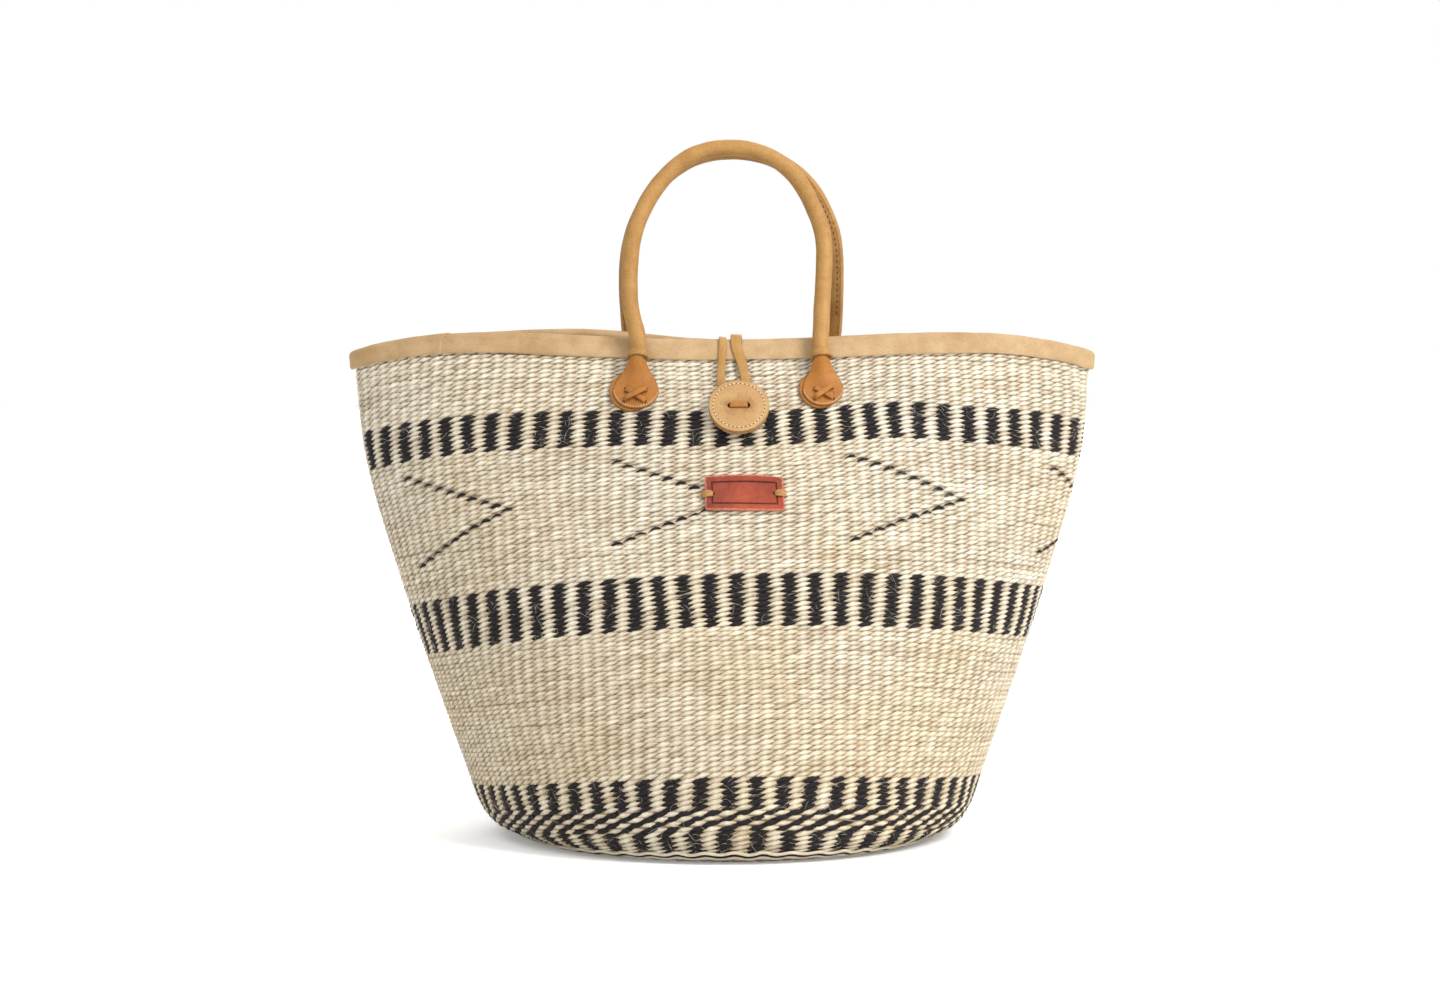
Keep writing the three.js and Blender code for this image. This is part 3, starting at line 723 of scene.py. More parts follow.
def repeated(name, faces, mapped, attributes, finish, stands_for=(), body="root"):
    """One piece made of many copies of a small shape, each corner already at its own place."""
    copies, count = mapped.shape[:2]
    corners = np.concatenate([np.array(face) for face in faces])
    corners = (corners[None, :] + count * np.arange(copies)[:, None]).ravel()
    sizes = np.tile([len(face) for face in faces], copies)
    mesh = bpy.data.meshes.new(name)
    mesh.vertices.add(copies * count)
    mesh.vertices.foreach_set("co", mapped.astype(np.float32).ravel())
    mesh.loops.add(len(corners))
    mesh.loops.foreach_set("vertex_index", corners)
    mesh.polygons.add(len(sizes))
    mesh.polygons.foreach_set("loop_start", np.cumsum(sizes) - sizes)
    mesh.polygons.foreach_set("loop_total", sizes)
    mesh.update(calc_edges=True)
    for label, values in attributes.items():
        kind, field = ("FLOAT_VECTOR", "vector") if values.ndim == 3 else ("FLOAT", "value")
        layer = mesh.attributes.new(label, kind, "POINT")
        layer.data.foreach_set(field, values.astype(np.float32).ravel())
    return keep(name, mesh, finish, stands_for, body)


def pod(sides, rings):
    """Faces and corners of a closed pod from -1 to 1 along X, for stitches, threads and fibres."""
    shape = bmesh.new()
    bmesh.ops.create_uvsphere(shape, u_segments=sides, v_segments=rings, radius=1)
    lying = Matrix.Rotation(math.pi / 2, 3, "Y")
    bmesh.ops.rotate(shape, cent=(0, 0, 0), matrix=lying, verts=shape.verts)
    bmesh.ops.recalc_face_normals(shape, faces=shape.faces)
    shape.verts.index_update()
    faces = [[v.index for v in face.verts] for face in shape.faces]
    corners = np.array([v.co[:] for v in shape.verts]).T
    shape.free()
    return faces, corners


def smooth_noise(size, length):
    """A wandering value along a row, for slow changes of tone, pull and tension."""
    knots = chance.normal(0, 1, size // length + 4)
    return np.roll(np.interp(np.arange(size) / length, np.arange(len(knots)), knots), size // 2)


# The pattern: which stitch is dyed
def rib_phase(level):
    """Ribs wander a little round the basket from band to band."""
    return np.interp(level, [200 * mm, 314 * mm, 440 * mm], [0.1, 0.1, -0.3])


def in_band(level, *names):
    return any(band_levels[name][0] <= level < band_levels[name][1] for name in names)


def dyed(level, row, ribs, chevron_row):
    """For each rib of a row, whether its stitch on the outer face is black."""
    rib = np.arange(ribs)
    if in_band(level, "upper", "heel", "foot"):
        return rib % 2 == 0
    if in_band(level, "middle"):
        return rib % 2 == 1
    if in_band(level, "swirl"):
        return (rib - row) % 2 == 0
    chosen = np.zeros(ribs, bool)
    step = abs(row - chevron_row)
    if step <= chevron_reach and ribs == upper_ribs:
        spacing = upper_ribs // chevron_count
        chosen[(1 + spacing * np.arange(chevron_count) - step) % ribs] = True
    return chosen


def weave_rows():
    """Rows of the wall and the base: level, pitch, number of ribs, phase and row number."""
    rows = []
    level = base_radius
    while level < rim_reach - row_pitch:
        pitch = np.interp(level, [heel_top, heel_top + 40 * mm], [heel_row_pitch, row_pitch])
        middle = level + pitch / 2
        ribs, phase = upper_ribs, float(rib_phase(middle))
        if middle < heel_top:
            ribs, phase = heel_ribs, 0.22
        if middle < foot_top:
            ribs, phase = foot_ribs, 0.1
        rows.append((middle, pitch, ribs, phase, len(rows)))
        level += pitch
    for row in range(1, int(base_radius / row_pitch)):
        level = base_radius - (row - 0.5) * row_pitch
        halvings = sum(level < base_radius * share for share in (0.5, 0.25, 0.125))
        rows.append((level, row_pitch, foot_ribs // 2**halvings, 0.0, -row))
    return rows


def twined(face, name, rows, rings, inside):
    """Rows of slanting stitches, each over one rib, with both ends tucked between the ribs."""
    faces, (along, across, up) = pod(4, rings)
    plump = np.sqrt(np.maximum(1 - along**2, 1e-6))
    half_row = 0.6 * np.minimum(1, 1.2 * (1 - np.abs(along)))
    u = along * stitch_reach
    v = across / plump * half_row
    round_up = up / plump * np.minimum(1, 1.8 * (1 - np.abs(along)))
    # Painted shade: each stitch darkens towards its tucked tips and on its underside, where the rows and ribs
    # shade each other
    crevice_shade = 0.5 * np.clip((np.abs(u) - 0.28) / 0.24, 0, 1) ** 1.5 + 0.3 * (1 - round_up) / 2
    rib_run = base_radius * 2 * math.pi / heel_ribs
    flip = -1 if inside else 1
    heel_change = [heel_top - 20 * mm, heel_top + 40 * mm]
    chevron_row = min(weave_rows(), key=lambda each: abs(each[0] - chevron_level))[-1]
    places, strands, tones, dyes = [], [], [], []
    for level, pitch, ribs, phase, row in rows:
        swirl = in_band(level, "swirl")
        rib = np.arange(ribs)
        weft_tone = chance.normal(0, 0.03, 2)[(rib + row) % 2]
        tone = 0.66 + weft_tone + 0.05 * smooth_noise(ribs, 7) + chance.normal(0, 0.07, ribs)
        black = dyed(level, row, ribs, chevron_row)
        if inside and in_band(level, "upper", "middle", "heel"):
            black = ~black
        lone = black & (black.sum() < ribs // 4)
        pull = 0.05 * smooth_noise(ribs, 6) + chance.normal(0, 0.035, ribs)
        fat = 1 + chance.normal(0, 0.06, ribs) - lone * (0.32 + 0.26 * chance.random(ribs))
        steep = np.interp(level, heel_change, [0.7, 0.55]) * (0.5 if swirl else 1)
        arch = np.interp(level, heel_change, [0.15, 0.32])
        steep = steep * (1 + chance.normal(0, 0.12, ribs)) - 0.4 * lone
        lie = steep[:, None] * u - (arch + 0.5 * lone)[:, None] * (u - 0.1) ** 2
        turn = full_turn(ribs)
        ripple = 0.07 * (2 if level < heel_top else 1)
        wander = 0.14 * np.sin(level / (31 * mm) + 4 * turn) + ripple * np.sin(level / (13 * mm) + 11 * turn)
        centre = (rib + phase + wander + chance.normal(0, 0.09 if swirl else 0.04, ribs)) / ribs
        short = 1 - lone * (0.24 + 0.12 * chance.random(ribs))
        around = centre[:, None] + flip * u * short[:, None] / ribs
        rise = (v * fat[:, None] + lie + pull[:, None]) * pitch
        base_drop = 0.45 * mm if level < base_radius else 0.0
        proud = chance.normal(0, 0.07 * mm, ribs) + black * 0.06 * mm - base_drop
        height = crest - stitch_fall * along**2 + (round_up - 1) * stitch_plump + proud[:, None]
        places.append(face.place(around, level + rise, height))
        strands.append(together(u * rib_run, v * pitch, up * mm) + chance.random((ribs, 1, 3)) * 0.2)
        tones.append(tone[:, None] - crevice_shade)
        dyes.append(np.repeat(black[:, None].astype(float), len(u), 1))
    looks = {"strand": strands, "tone": tones, "dye": dyes}
    looks = {label: np.concatenate(values) for label, values in looks.items()}
    repeated(name, faces, np.concatenate(places), looks, "sisal", ("woven_body",))


def warp_shell(faces):
    """The warps' own surface, which closes the wall behind the stitches, toned darker as painted shade in the
    gaps between them.
    """
    around = np.arange(grid_columns)[None, :] / grid_columns
    levels = np.linspace(2 * mm, rim_reach - mm, 150)[:, None]
    runs = (levels, levels[::-1])
    rings = np.concatenate([face.place(around, run, -warp_depth) for face, run in zip(faces, runs)])
    shape = skin(rings, rings * 0.6)
    # A low tone: painted shade where the stitches part
    fill_layer(shape, "tone", 0.2)
    keep("warp_shell", shape, "sisal", ("woven_body",))


def weave(faces):
    """The stitches in several pieces: the outside from heel to rim, the base, then the inside."""
    rows = weave_rows()
    wall = [row for row in rows if row[0] > base_radius]
    base = [row for row in rows if row[0] <= base_radius]
    half = len(wall) // 2
    cuts = {"heel": (0, 0.27), "belly": (0.27, 0.52), "waist": (0.52, 0.76), "shoulder": (0.76, 1.01)}
    for label, (low, high) in cuts.items():
        chosen = [row for row in wall if low <= row[-1] / len(wall) < high]
        twined(faces[0], f"weave_{label}_outside", chosen, 6, False)
    twined(faces[0], "weave_base_outside", base, 4, False)
    twined(faces[1], "weave_base_inside", base, 4, True)
    twined(faces[1], "weave_lower_inside", wall[:half], 4, True)
    twined(faces[1], "weave_upper_inside", wall[half:], 4, True)


def stray_fibres(face):
    """Fine pale ends of sisal, loose on the weave, and more of them over the dyed bands."""
    count = 4000
    faces, (along, across, up) = pod(3, 6)
    start = chance.random(count)[:, None]
    free_rim = 12 * mm
    anywhere = base_radius + free_rim + (rim_reach - base_radius - 2 * free_rim) * chance.random(count)
    bands = np.array([band_levels[name] for name in ("upper", "middle", "heel", "foot")])
    low, high = bands[chance.integers(0, len(bands), count)].T
    banded = low + (high - low) * chance.random(count)
    level = np.where(chance.random(count) < 0.65, anywhere, banded)[:, None]
    lie = chance.normal(0, 0.8, count)[:, None]
    length = (2 + 5 * chance.random(count) ** 2)[:, None] * mm
    curl = chance.normal(0, 0.35, count)[:, None] * length
    radius = (0.06 + 0.04 * chance.random(count))[:, None] * mm
    stand = (0.25 + 1.1 * chance.random(count) ** 3)[:, None] * mm
    way = length * along
    aside = curl * along**2 + radius * across
    near_girth = 2 * math.pi * 190 * mm
    around = start + (way * np.cos(lie) - aside * np.sin(lie)) / near_girth
    climb = level + way * np.sin(lie) + aside * np.cos(lie)
    height = crest - 0.1 * mm + stand * (along + 1) ** 2 / 2 + radius * up
    mapped = face.place(around, climb, height)
    looks = {"strand": mapped * 3, "tone": np.ones(mapped.shape[:2]), "dye": np.zeros(mapped.shape[:2])}
    repeated("stray_fibres", faces, mapped, looks, "sisal", ("woven_body",))


def edge_cords(face):
    """Three cords lie side by side in waves along the edge of the base, the middle one black."""
    waves = foot_ribs // 2
    steps = waves * 10
    share = np.arange(steps) / steps
    wave = 1.1 * mm * np.sin(2 * math.pi * waves * share)
    wave = wave * (1 + 0.25 * np.interp(share * 60, np.arange(62), chance.normal(0, 1, 62)))
    cos, sin = section(6, 1)
    cords = (
        (143.6 * mm, 1.2 * mm, 0),
        (141 * mm, 1.15 * mm, 1),
        (138.4 * mm, 1.3 * mm, 0),
    )
    shapes = []
    for level, radius, black in cords:
        centre = face.place(share, level + wave, 0.5 * mm)
        around = unit(np.roll(centre, -1, 0) - np.roll(centre, 1, 0))
        straight = np.full(steps, level)
        outward = unit(face.place(share, straight, mm) - face.place(share, straight, 0))
        wide = np.broadcast_to(radius * cos, (steps, 6))
        high = np.broadcast_to(radius * sin, (steps, 6))
        rings = tube(centre, np.cross(outward, around), outward, wide, high)
        shape = skin(rings, together(share[:, None], wide, high), looped=True)
        fill_layer(shape, "tone", 0.55)
        fill_layer(shape, "dye", black)
        shapes.append(shape)
    keep("edge_cords", joined(shapes), "sisal", ("woven_body",))


def rim_binding():
    """A folded leather strip with a soft waver and a slanting lap at its left front."""
    middle = wall_thickness / 2
    half_mouth = mouth_width / 2
    drop_share = np.interp(basket_height - binding_drop, wall_profile_heights, profile_shares)
    lap_angle = math.asin(lap_pixels / focal_pixels * camera_distance / half_mouth) % (2 * math.pi)
    near_lap = lap_angle + np.linspace(-6, 6, 13) * 0.4 * mm / half_mouth
    angles = np.sort(np.concatenate([np.linspace(0, 2 * math.pi, 361)[:-1], near_lap]))
    waver = 0.35 * mm * np.sin(7 * angles + 1) + 0.25 * mm * np.sin(17 * angles)
    waver = waver + 0.12 * mm * np.sin(41 * angles)
    past = lap_angle - angles
    lap = np.clip(past / 0.0016 + 0.5, 0, 1) * np.exp(-np.clip(past / 0.05, 0, 9))

    def face_lines(reach, tight):
        """Lines of one face of the strip: up the outside, over the fold and down the inside."""
        def leg(side):
            return [(drop_share + (1 - drop_share) * drop, middle - side * (reach - tight * (drop == 0)), 0.0,
                     drop == 0, side) for drop in (0, 0.12, 0.4, 0.75)]

        over = [(1.0, middle - reach * math.cos(turn), reach * math.sin(turn), False, math.cos(turn))
                for turn in np.linspace(0, math.pi, 9)]
        return leg(1) + over + leg(-1)[::-1]

    outer = face_lines(middle + gap + leather_thickness, 0.5 * mm)
    inner = face_lines(middle + gap, -0.3 * mm)[::-1]
    rings = []
    for k, (share, inset, lift, is_edge, side) in enumerate(outer + inner):
        slant = side * (share - 1) * basket_height * 0.28 / half_mouth
        turn = angles + slant * bell(angles, lap_angle, 0.05)
        stand = (lap * 0.7 * mm + np.abs(waver) * 0.5) * (k < len(outer))
        points = wall_point(turn, np.full_like(turn, share), inset - side * stand)
        points[:, 2] += lift + stand * (1 - abs(side)) + waver * 0.8 * is_edge
        rings.append(points)
    edges = np.array([0.9 * line[3] for line in outer + inner])
    rings = np.stack(rings, 1)
    shape = skin(rings, None, np.broadcast_to(edges, rings.shape[:2]), looped=True)
    keep("binding_strip", shape, "binding", ("rim_binding",))


# Handles and their feet. Half widths of each side of the handles at these heights, in
# millimetres: the legs bow outward, the front left one most, and the shoulders draw in
handle_heights = (0, 6.5, 18, 33, 50, 66, 78, 89, 100, 110, 119, 126.5, 130.5)
handle_halves = {
    ("front", "left"): (62.5, 64.8, 67.4, 68.4, 68.0, 66.2, 63.0, 58.3, 52.3, 44.8, 35.8, 24.4, 11.5),
    ("front", "right"): (62.5, 62.8, 63.2, 64.2, 65.0, 64.7, 62.0, 57.8, 52.6, 46.2, 37.5, 25.2, 11.8),
    ("rear", "left"): (73.0, 73.4, 73.8, 74.0, 73.9, 72.7, 69.9, 65.4, 59.6, 52.0, 41.6, 28.0, 13.0),
    ("rear", "right"): (73.0, 73.4, 74.0, 74.7, 74.3, 72.0, 68.4, 63.5, 57.6, 50.3, 40.3, 27.2, 12.8),
}


def handle_line(side_name):
    """Points of a handle's centre line in its own plane, up one leg and down the other."""
    left, right = (handle_halves[side_name, label] for label in ("left", "right"))
    points = [(-x, z) for x, z in zip(left, handle_heights)] + [(0, handle_rise / mm)]
    points += [(x, z) for x, z in zip(right, handle_heights)][::-1]
    return np.array([(x * mm, handle_radius, z * mm + gap / 2) for x, z in points])


# The rolled leather opens below the collar: distance along the foot, half width, level of the
# middle, half thickness, height of the roll that dies out over the leaf, and squareness
foot_stations = np.array([
    (-39.0, 0.2, 3.0, 0.2, 0.0, 0.8),
    (-38.8, 3.6, 3.0, 0.55, 0.0, 0.7),
    (-38.0, 7.4, 3.0, 0.8, 0.0, 0.6),
    (-36.0, 11.2, 3.0, 0.85, 0.0, 0.55),
    (-33.0, 14.3, 3.0, 0.85, 0.0, 0.55),
    (-29.0, 16.4, 3.0, 0.85, 0.1, 0.55),
    (-25.0, 17.0, 3.0, 0.85, 0.4, 0.55),
    (-21.0, 15.9, 3.05, 0.9, 1.0, 0.55),
    (-17.0, 14.0, 3.2, 0.95, 2.1, 0.6),
    (-13.0, 11.3, 3.6, 1.1, 3.8, 0.65),
    (-9.5, 8.8, 4.6, 1.7, 4.9, 0.75),
    (-6.5, 6.9, 6.6, 3.2, 3.4, 0.85),
    (-4.2, 5.9, 8.8, 4.7, 1.0, 1.0),
    (-2.5, 5.3, 9.5, 5.2, 0.0, 1.0),
    (0.0, 5.2, 9.5, 5.2, 0.0, 1.0),
    (2.5, 5.2, 9.5, 5.2, 0.0, 1.0),
    (5.0, 5.4, 9.5, 5.4, 0.0, 1.0),
    (8.5, 5.6, 9.5, 5.6, 0.0, 1.0),
])
neck_rings = 4
golden_rings = 6

# Width and length shares of the feet, which are drawn in unevenly, the front right one most
foot_squeezes = {
    ("front", "left"): (0.94, 0.97),
    ("front", "right"): (0.84, 0.91),
    ("rear", "left"): (0.93, 0.97),
    ("rear", "right"): (1.0, 1.0),
}
handle_steps = 84
handle_sides = 24
leg_play = 2.5 * mm
seam_turn = -math.pi / 2 - 0.5
welt_height = 1.1 * mm


def foot_rings(matrix, side_name, label):
    """The rings of one foot: middle, facing, half width, half thickness, roll and squareness."""
    width_share, length_share = foot_squeezes[side_name, label]
    rings = []
    for y, half_width, level, half_thick, roll, squareness in foot_stations:
        opened = min(max((-y - 4) / 8, 0), 1)
        half_width *= 1 + (width_share - 1) * opened
        roll += (1 - width_share) * 12 * bell(y, -17, 6)
        y *= 1 + (length_share - 1) * opened
        centre = moved(matrix, np.array([0, y, level]) * mm)
        rings.append((centre, matrix[:3, 2], half_width * mm, half_thick * mm, roll * mm, squareness))
    return rings


def handle_leather(side_name, frames):
    """One piece of leather from leaf tip to leaf tip, rolled round the rope between its feet."""
    facing = -1.0 if side_name == "rear" else 1.0
    pivot = np.array([0, neck_top + gap / 2, neck_level + handle_radius])
    middle = (moved(frames[0], pivot) + moved(frames[1], pivot)) / 2
    upward = np.array([0, facing * math.sin(handle_lean), math.cos(handle_lean)])
    inward = np.array([0, facing * math.cos(handle_lean), -math.sin(handle_lean)])
    fine = curve_through(handle_line(side_name), np.linspace(0, 1, 1000))
    fine_run = run_along(fine)
    even = np.linspace(leg_play, fine_run[-1] - leg_play, handle_steps)
    flat = together(*(np.interp(even, fine_run, line) for line in fine.T))
    arch = middle + flat[:, :1] * (facing, 0, 0) + flat[:, 1:2] * inward + flat[:, 2:] * upward
    rope_core(side_name, arch, -inward)

    foot_count = len(foot_stations)
    stations = foot_rings(frames[0], side_name, "left")
    stations += [(point, -inward, handle_radius, handle_radius, 0.0, 1.0) for point in arch]
    stations += foot_rings(frames[1], side_name, "right")[::-1]
    centre, outward, *sizes = (np.array(values) for values in zip(*stations))
    half_width, half_thick, roll, squareness = (size[:, None] for size in sizes)
    tangent = np.gradient(centre, axis=0)
    tangent[:foot_count - neck_rings] = frames[0][:3, 1]
    tangent[neck_rings - foot_count:] = -frames[1][:3, 1]
    tangent = unit(tangent)
    across = unit(np.cross(tangent, outward))
    outward = unit(np.cross(across, tangent))

    turn = full_turn(handle_sides)
    cos, sin = section(handle_sides, squareness)
    is_arch = np.zeros((len(stations), 1))
    is_arch[foot_count:-foot_count] = 1
    run = run_along(centre)[:, None]
    crease = 0.1 * mm * np.sin(run / (3.1 * mm) + 2 * np.sin(run / (17 * mm))) * np.sin(turn * 2 + run * 90)
    off_seam = np.angle(np.exp(1j * (turn - seam_turn)))
    swell = is_arch * (crease + welt_height * bell(off_seam, 0, 0.2))
    x = half_width * cos
    z = half_thick * sin + (sin > 0) * roll * bell(x, 0, 5.4 * mm) + swell * np.sin(turn)
    x = x + swell * np.cos(turn)
    leaf_edge = (1 - is_arch) * np.abs(cos) ** 14 * (half_thick < 2 * mm)
    edge = leaf_edge + is_arch * 0.95 * bell(off_seam, 0, 0.3)
    shape = skin(tube(centre, across, outward, x, z), together(run, x, z), edge)
    golden_run = run[foot_count - golden_rings, 0]
    along = shape.verts.layers.float_vector["strand"]
    for face in shape.faces:
        reach = sum(corner[along][0] for corner in face.verts) / len(face.verts)
        face.material_index = int(min(reach, run[-1, 0] - reach) < golden_run)
    nodes = [f"{side_name}_handle_sleeve", f"{side_name}_left_foot_leaf", f"{side_name}_right_foot_leaf"]
    piece = keep(f"{side_name}_handle_leather", shape, ("tan", "golden"), nodes, None)
    soften = piece.modifiers.new("soften", "SUBSURF")
    soften.levels = 1
    soften.render_levels = 1
    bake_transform(piece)
    return centre, across, outward


def thread_stitches(name, starts, ends, outs, thickness, lift, stands_for=(), body="root", finish="thread"):
    """Short sewn stitches from hole to hole, each a plump thread that dips at both ends."""
    faces, (along, across, up) = pod(6, 5)
    way = (along + 1) / 2
    side = unit(np.cross(outs, ends - starts))
    centre = starts[:, None] * (1 - way[:, None]) + ends[:, None] * way[:, None]
    arch = lift * (1 - along**2) + up * thickness / 2
    mapped = centre + side[:, None] * (across * thickness / 2)[:, None] + outs[:, None] * arch[:, None]
    length = np.linalg.norm(ends - starts, axis=1)[:, None]
    strand = together(way * length, across * thickness, up * thickness)
    strand = strand + chance.random((len(starts), 1, 3)) * 0.1
    repeated(name, faces, mapped, {"strand": strand}, finish, stands_for, body)


def backing_leaf(matrix, name):
    """The leaf behind, an oval set a little aside, with a rounded edge that curls off the wall."""
    shape = bmesh.new()
    bmesh.ops.create_circle(shape, cap_ends=True, segments=48, radius=1)
    bmesh.ops.scale(shape, vec=(backing_half_width, backing_half_length, 1), verts=shape.verts)
    thicken(shape, leather_thickness)
    round_rim(shape, 0.45 * mm, 2)
    flats = [f for f in shape.faces if abs(f.normal.z) > 0.99]
    bmesh.ops.inset_region(shape, faces=flats, thickness=3 * mm, depth=0)
    edge = shape.verts.layers.float.new("edge")
    centre = -leaf_length - leather_thickness + backing_half_length
    for corner in shape.verts:
        x, y, z = corner.co
        rim_share = math.hypot(x / backing_half_width, y / backing_half_length)
        corner[edge] = max(0.0, rim_share - 0.9) * 10
        lift = 0.5 * mm * max(0.0, rim_share - 0.75) * 4 * (0.6 + 0.4 * math.sin(5 * math.atan2(y, x)))
        corner.co = (x - backing_shift, y + centre, z + backing_level + lift)
    put(shape, matrix)
    keep(f"{name}_backing_leaf", shape, "golden", (f"{name}_backing",))


def collar(matrix, name):
    """A leather band round the neck: two tooled lines, and a lower lip that stands proud."""
    half = collar_height / 2
    inner = neck_radius + 0.1 * mm
    outer = collar_radius
    groove = 0.35 * mm
    outline = [
        (inner, -half), (outer, -half - 0.2 * mm), (outer + 0.25 * mm, -half + 0.4 * mm),
        (outer - 0.1 * mm, -half + 1.1 * mm), (outer - groove - 0.3 * mm, -half + 1.5 * mm),
        (outer - 0.3 * mm, -half + 2 * mm), (outer - 0.35 * mm, 0.4 * mm),
        (outer - 0.5 * mm, half - 1.5 * mm), (outer - groove - 0.5 * mm, half - 1.2 * mm),
        (outer - 0.5 * mm, half - 0.8 * mm), (outer - 0.7 * mm, half - 0.25 * mm),
        (outer - mm, half), (inner, half),
    ]
    shape = bmesh.new()
    corners = [shape.verts.new((radius, level, 0)) for radius, level in outline]
    edges = [shape.edges.new((corners[k], corners[(k + 1) % len(corners)])) for k in range(len(corners))]
    bmesh.ops.spin(shape, geom=corners + edges, cent=(0, 0, 0), axis=(0, 1, 0), dvec=(0, 0, 0),
                   angle=2 * math.pi, steps=36, use_merge=True)
    bmesh.ops.remove_doubles(shape, verts=shape.verts, dist=0.005 * mm)
    bmesh.ops.recalc_face_normals(shape, faces=shape.faces)
    edge = shape.verts.layers.float.new("edge")
    for corner in shape.verts:
        x, y, z = corner.co
        around = math.atan2(z, x)
        low = y < -half + 0.9 * mm
        tuck_in = 1.2 * mm * bell(around, 0.5, 0.3) if low else 0
        corner[edge] = 0.7 if low or abs(y - half) < 0.3 * mm else 0.0
        reach = 1 + 0.015 * math.sin(3 * around) + tuck_in / outer
        corner.co = (x * reach, y - tuck_in * 0.4, z * reach + neck_level)
    put(shape, matrix)
    keep(f"{name}_collar_band", shape, "tan", (f"{name}_collar",))


def lacing(matrix, name):
    """One thong crosses over the leaf in an X, passes four slits and lies flat inside."""
    half_x, half_y = lacing_span[0] / 2, lacing_span[1] / 2
    half_width, half_thick = lacing_width / 2, lacing_thickness / 2
    low = -wall_thickness - gap - half_thick
    strips = []
    for level, lean in ((lacing_level, -1), (crossing_level, 1)):
        top = level + half_thick + 0.35 * mm
        way = ((-1, low), (-1, leaf_level), (-0.84, top), (0, top + 0.2 * mm),
               (0.84, top), (1, leaf_level), (1, low))
        points = [(half_x * k, lean * half_y * k - lacing_below_collar, z) for k, z in way]
        across = matrix[:3, :3] @ unit(np.array([-lean * half_y, half_x, 0]))
        narrow = 1.1 - 0.2 * np.linspace(-1, 1, 34) ** 2
        strips.append(strap(matrix, points, 34, across, half_width * narrow, half_thick, 10))
    for side in (-1, 1):
        points = [(side * half_x, half_y * 1.25 * k - lacing_below_collar, low - 0.2 * mm * (k == 0))
                  for k in (-1, 0, 1)]
        strips.append(strap(matrix, points, 10, matrix[:3, 0], half_width, half_thick, 10))
    keep(f"{name}_lacing_thong", joined(strips), "golden", (f"{name}_lacing",))
    # Thin dark lenses on the leaf at the four slits: painted shadow in the slits
    slits = []
    reach = np.linspace(-1, 1, 9)
    level = leaf_level + leather_thickness + 0.1 * mm
    for side_x, side_y in ((-1, -1), (-1, 1), (1, -1), (1, 1)):
        line = together(side_x * (half_x + 0.3 * mm),
                        side_y * half_y - lacing_below_collar + 2.5 * mm * reach, level)
        slits.append(swept(moved(matrix, line), matrix[:3, 0], 0.65 * mm, 0.3 * mm, 8, 0.9))
    keep(f"{name}_slit_shade", joined(slits), "slit")


def foot_stitches(matrix, name):
    """Pale stitches hold both leaves together round the lower edge."""
    turn = np.linspace(math.pi * 1.02, math.pi * 1.98, 25)
    widest = 25 * mm
    inset = 1.15 * mm
    line = together((leaf_half_width - inset) * np.cos(turn),
                    -widest + (leaf_length - widest - inset) * np.sin(turn), leaf_level + leather_thickness)
    starts = moved(matrix, line[:-1] * 0.8 + line[1:] * 0.2)
    ends = moved(matrix, line[:-1] * 0.24 + line[1:] * 0.76)
    outs = np.broadcast_to(matrix[:3, 2], starts.shape)
    thread_stitches(f"{name}_edge_stitches", starts, ends, outs, 0.6 * mm, 0.15 * mm, (f"{name}_stitching",))


def rope_core(side_name, centre, outward):
    """The laid rope that the leather is rolled round: three strands turning about each other."""
    run = run_along(centre)[:, None]
    turn = full_turn(18)
    lay = turn - 2 * math.pi * run / (26 * mm)
    reach = rope_radius * (0.86 + 0.14 * np.abs(np.cos(1.5 * lay)))
    tangent = unit(np.gradient(centre, axis=0))
    across = unit(np.cross(tangent, outward))
    rings = tube(centre, across, np.cross(across, tangent), reach * np.cos(turn), reach * np.sin(turn))
    strand = together(run, reach * np.cos(lay), reach * np.sin(lay))
    keep(f"{side_name}_rope_core", skin(rings, strand), "rope",
         (f"{side_name}_handle_core",), f"{side_name}_handle")


def seam_stitches(side_name, centre, across, outward):
    """The dark seam along the handle's inner side, sewn just beside the welt."""
    turn = seam_turn + 0.34
    ends_free = len(foot_stations) + 3
    out = unit(across * math.cos(turn) + outward * math.sin(turn))[ends_free:-ends_free]
    line = centre[ends_free:-ends_free] + (handle_radius + 0.12 * mm) * out
    starts = line[:-1] * 0.8 + line[1:] * 0.2
    ends = line[:-1] * 0.2 + line[1:] * 0.8
    thread_stitches(f"{side_name}_handle_seam", starts, ends, out[:-1], 0.6 * mm, 0.2 * mm,
                    (), f"{side_name}_handle", "slit")


def handle(side_name, spacing, offset):
    """A handle with its two feet. Left and right are as one faces its side of the basket."""
    turned = side_name == "rear"
    frames = [wall_frame(offset + side * spacing / 2, handle_height, turned) for side in (-1, 1)]
    seam_stitches(side_name, *handle_leather(side_name, frames))
    for matrix, label in zip(frames, ("left", "right")):
        name = f"{side_name}_{label}_foot"
        collar(matrix, name)
        drawn = matrix.copy()
        drawn[:3, :2] *= foot_squeezes[side_name, label]
        backing_leaf(drawn, name)
        lacing(drawn, name)
        foot_stitches(drawn, name)


# Button
back_disc_level = button_stand_off
front_disc_level = back_disc_level + button_disc_thickness + gap
bar_level = front_disc_level + button_disc_thickness
knot_level = -wall_thickness - 3 * gap - knot_thickness / 2


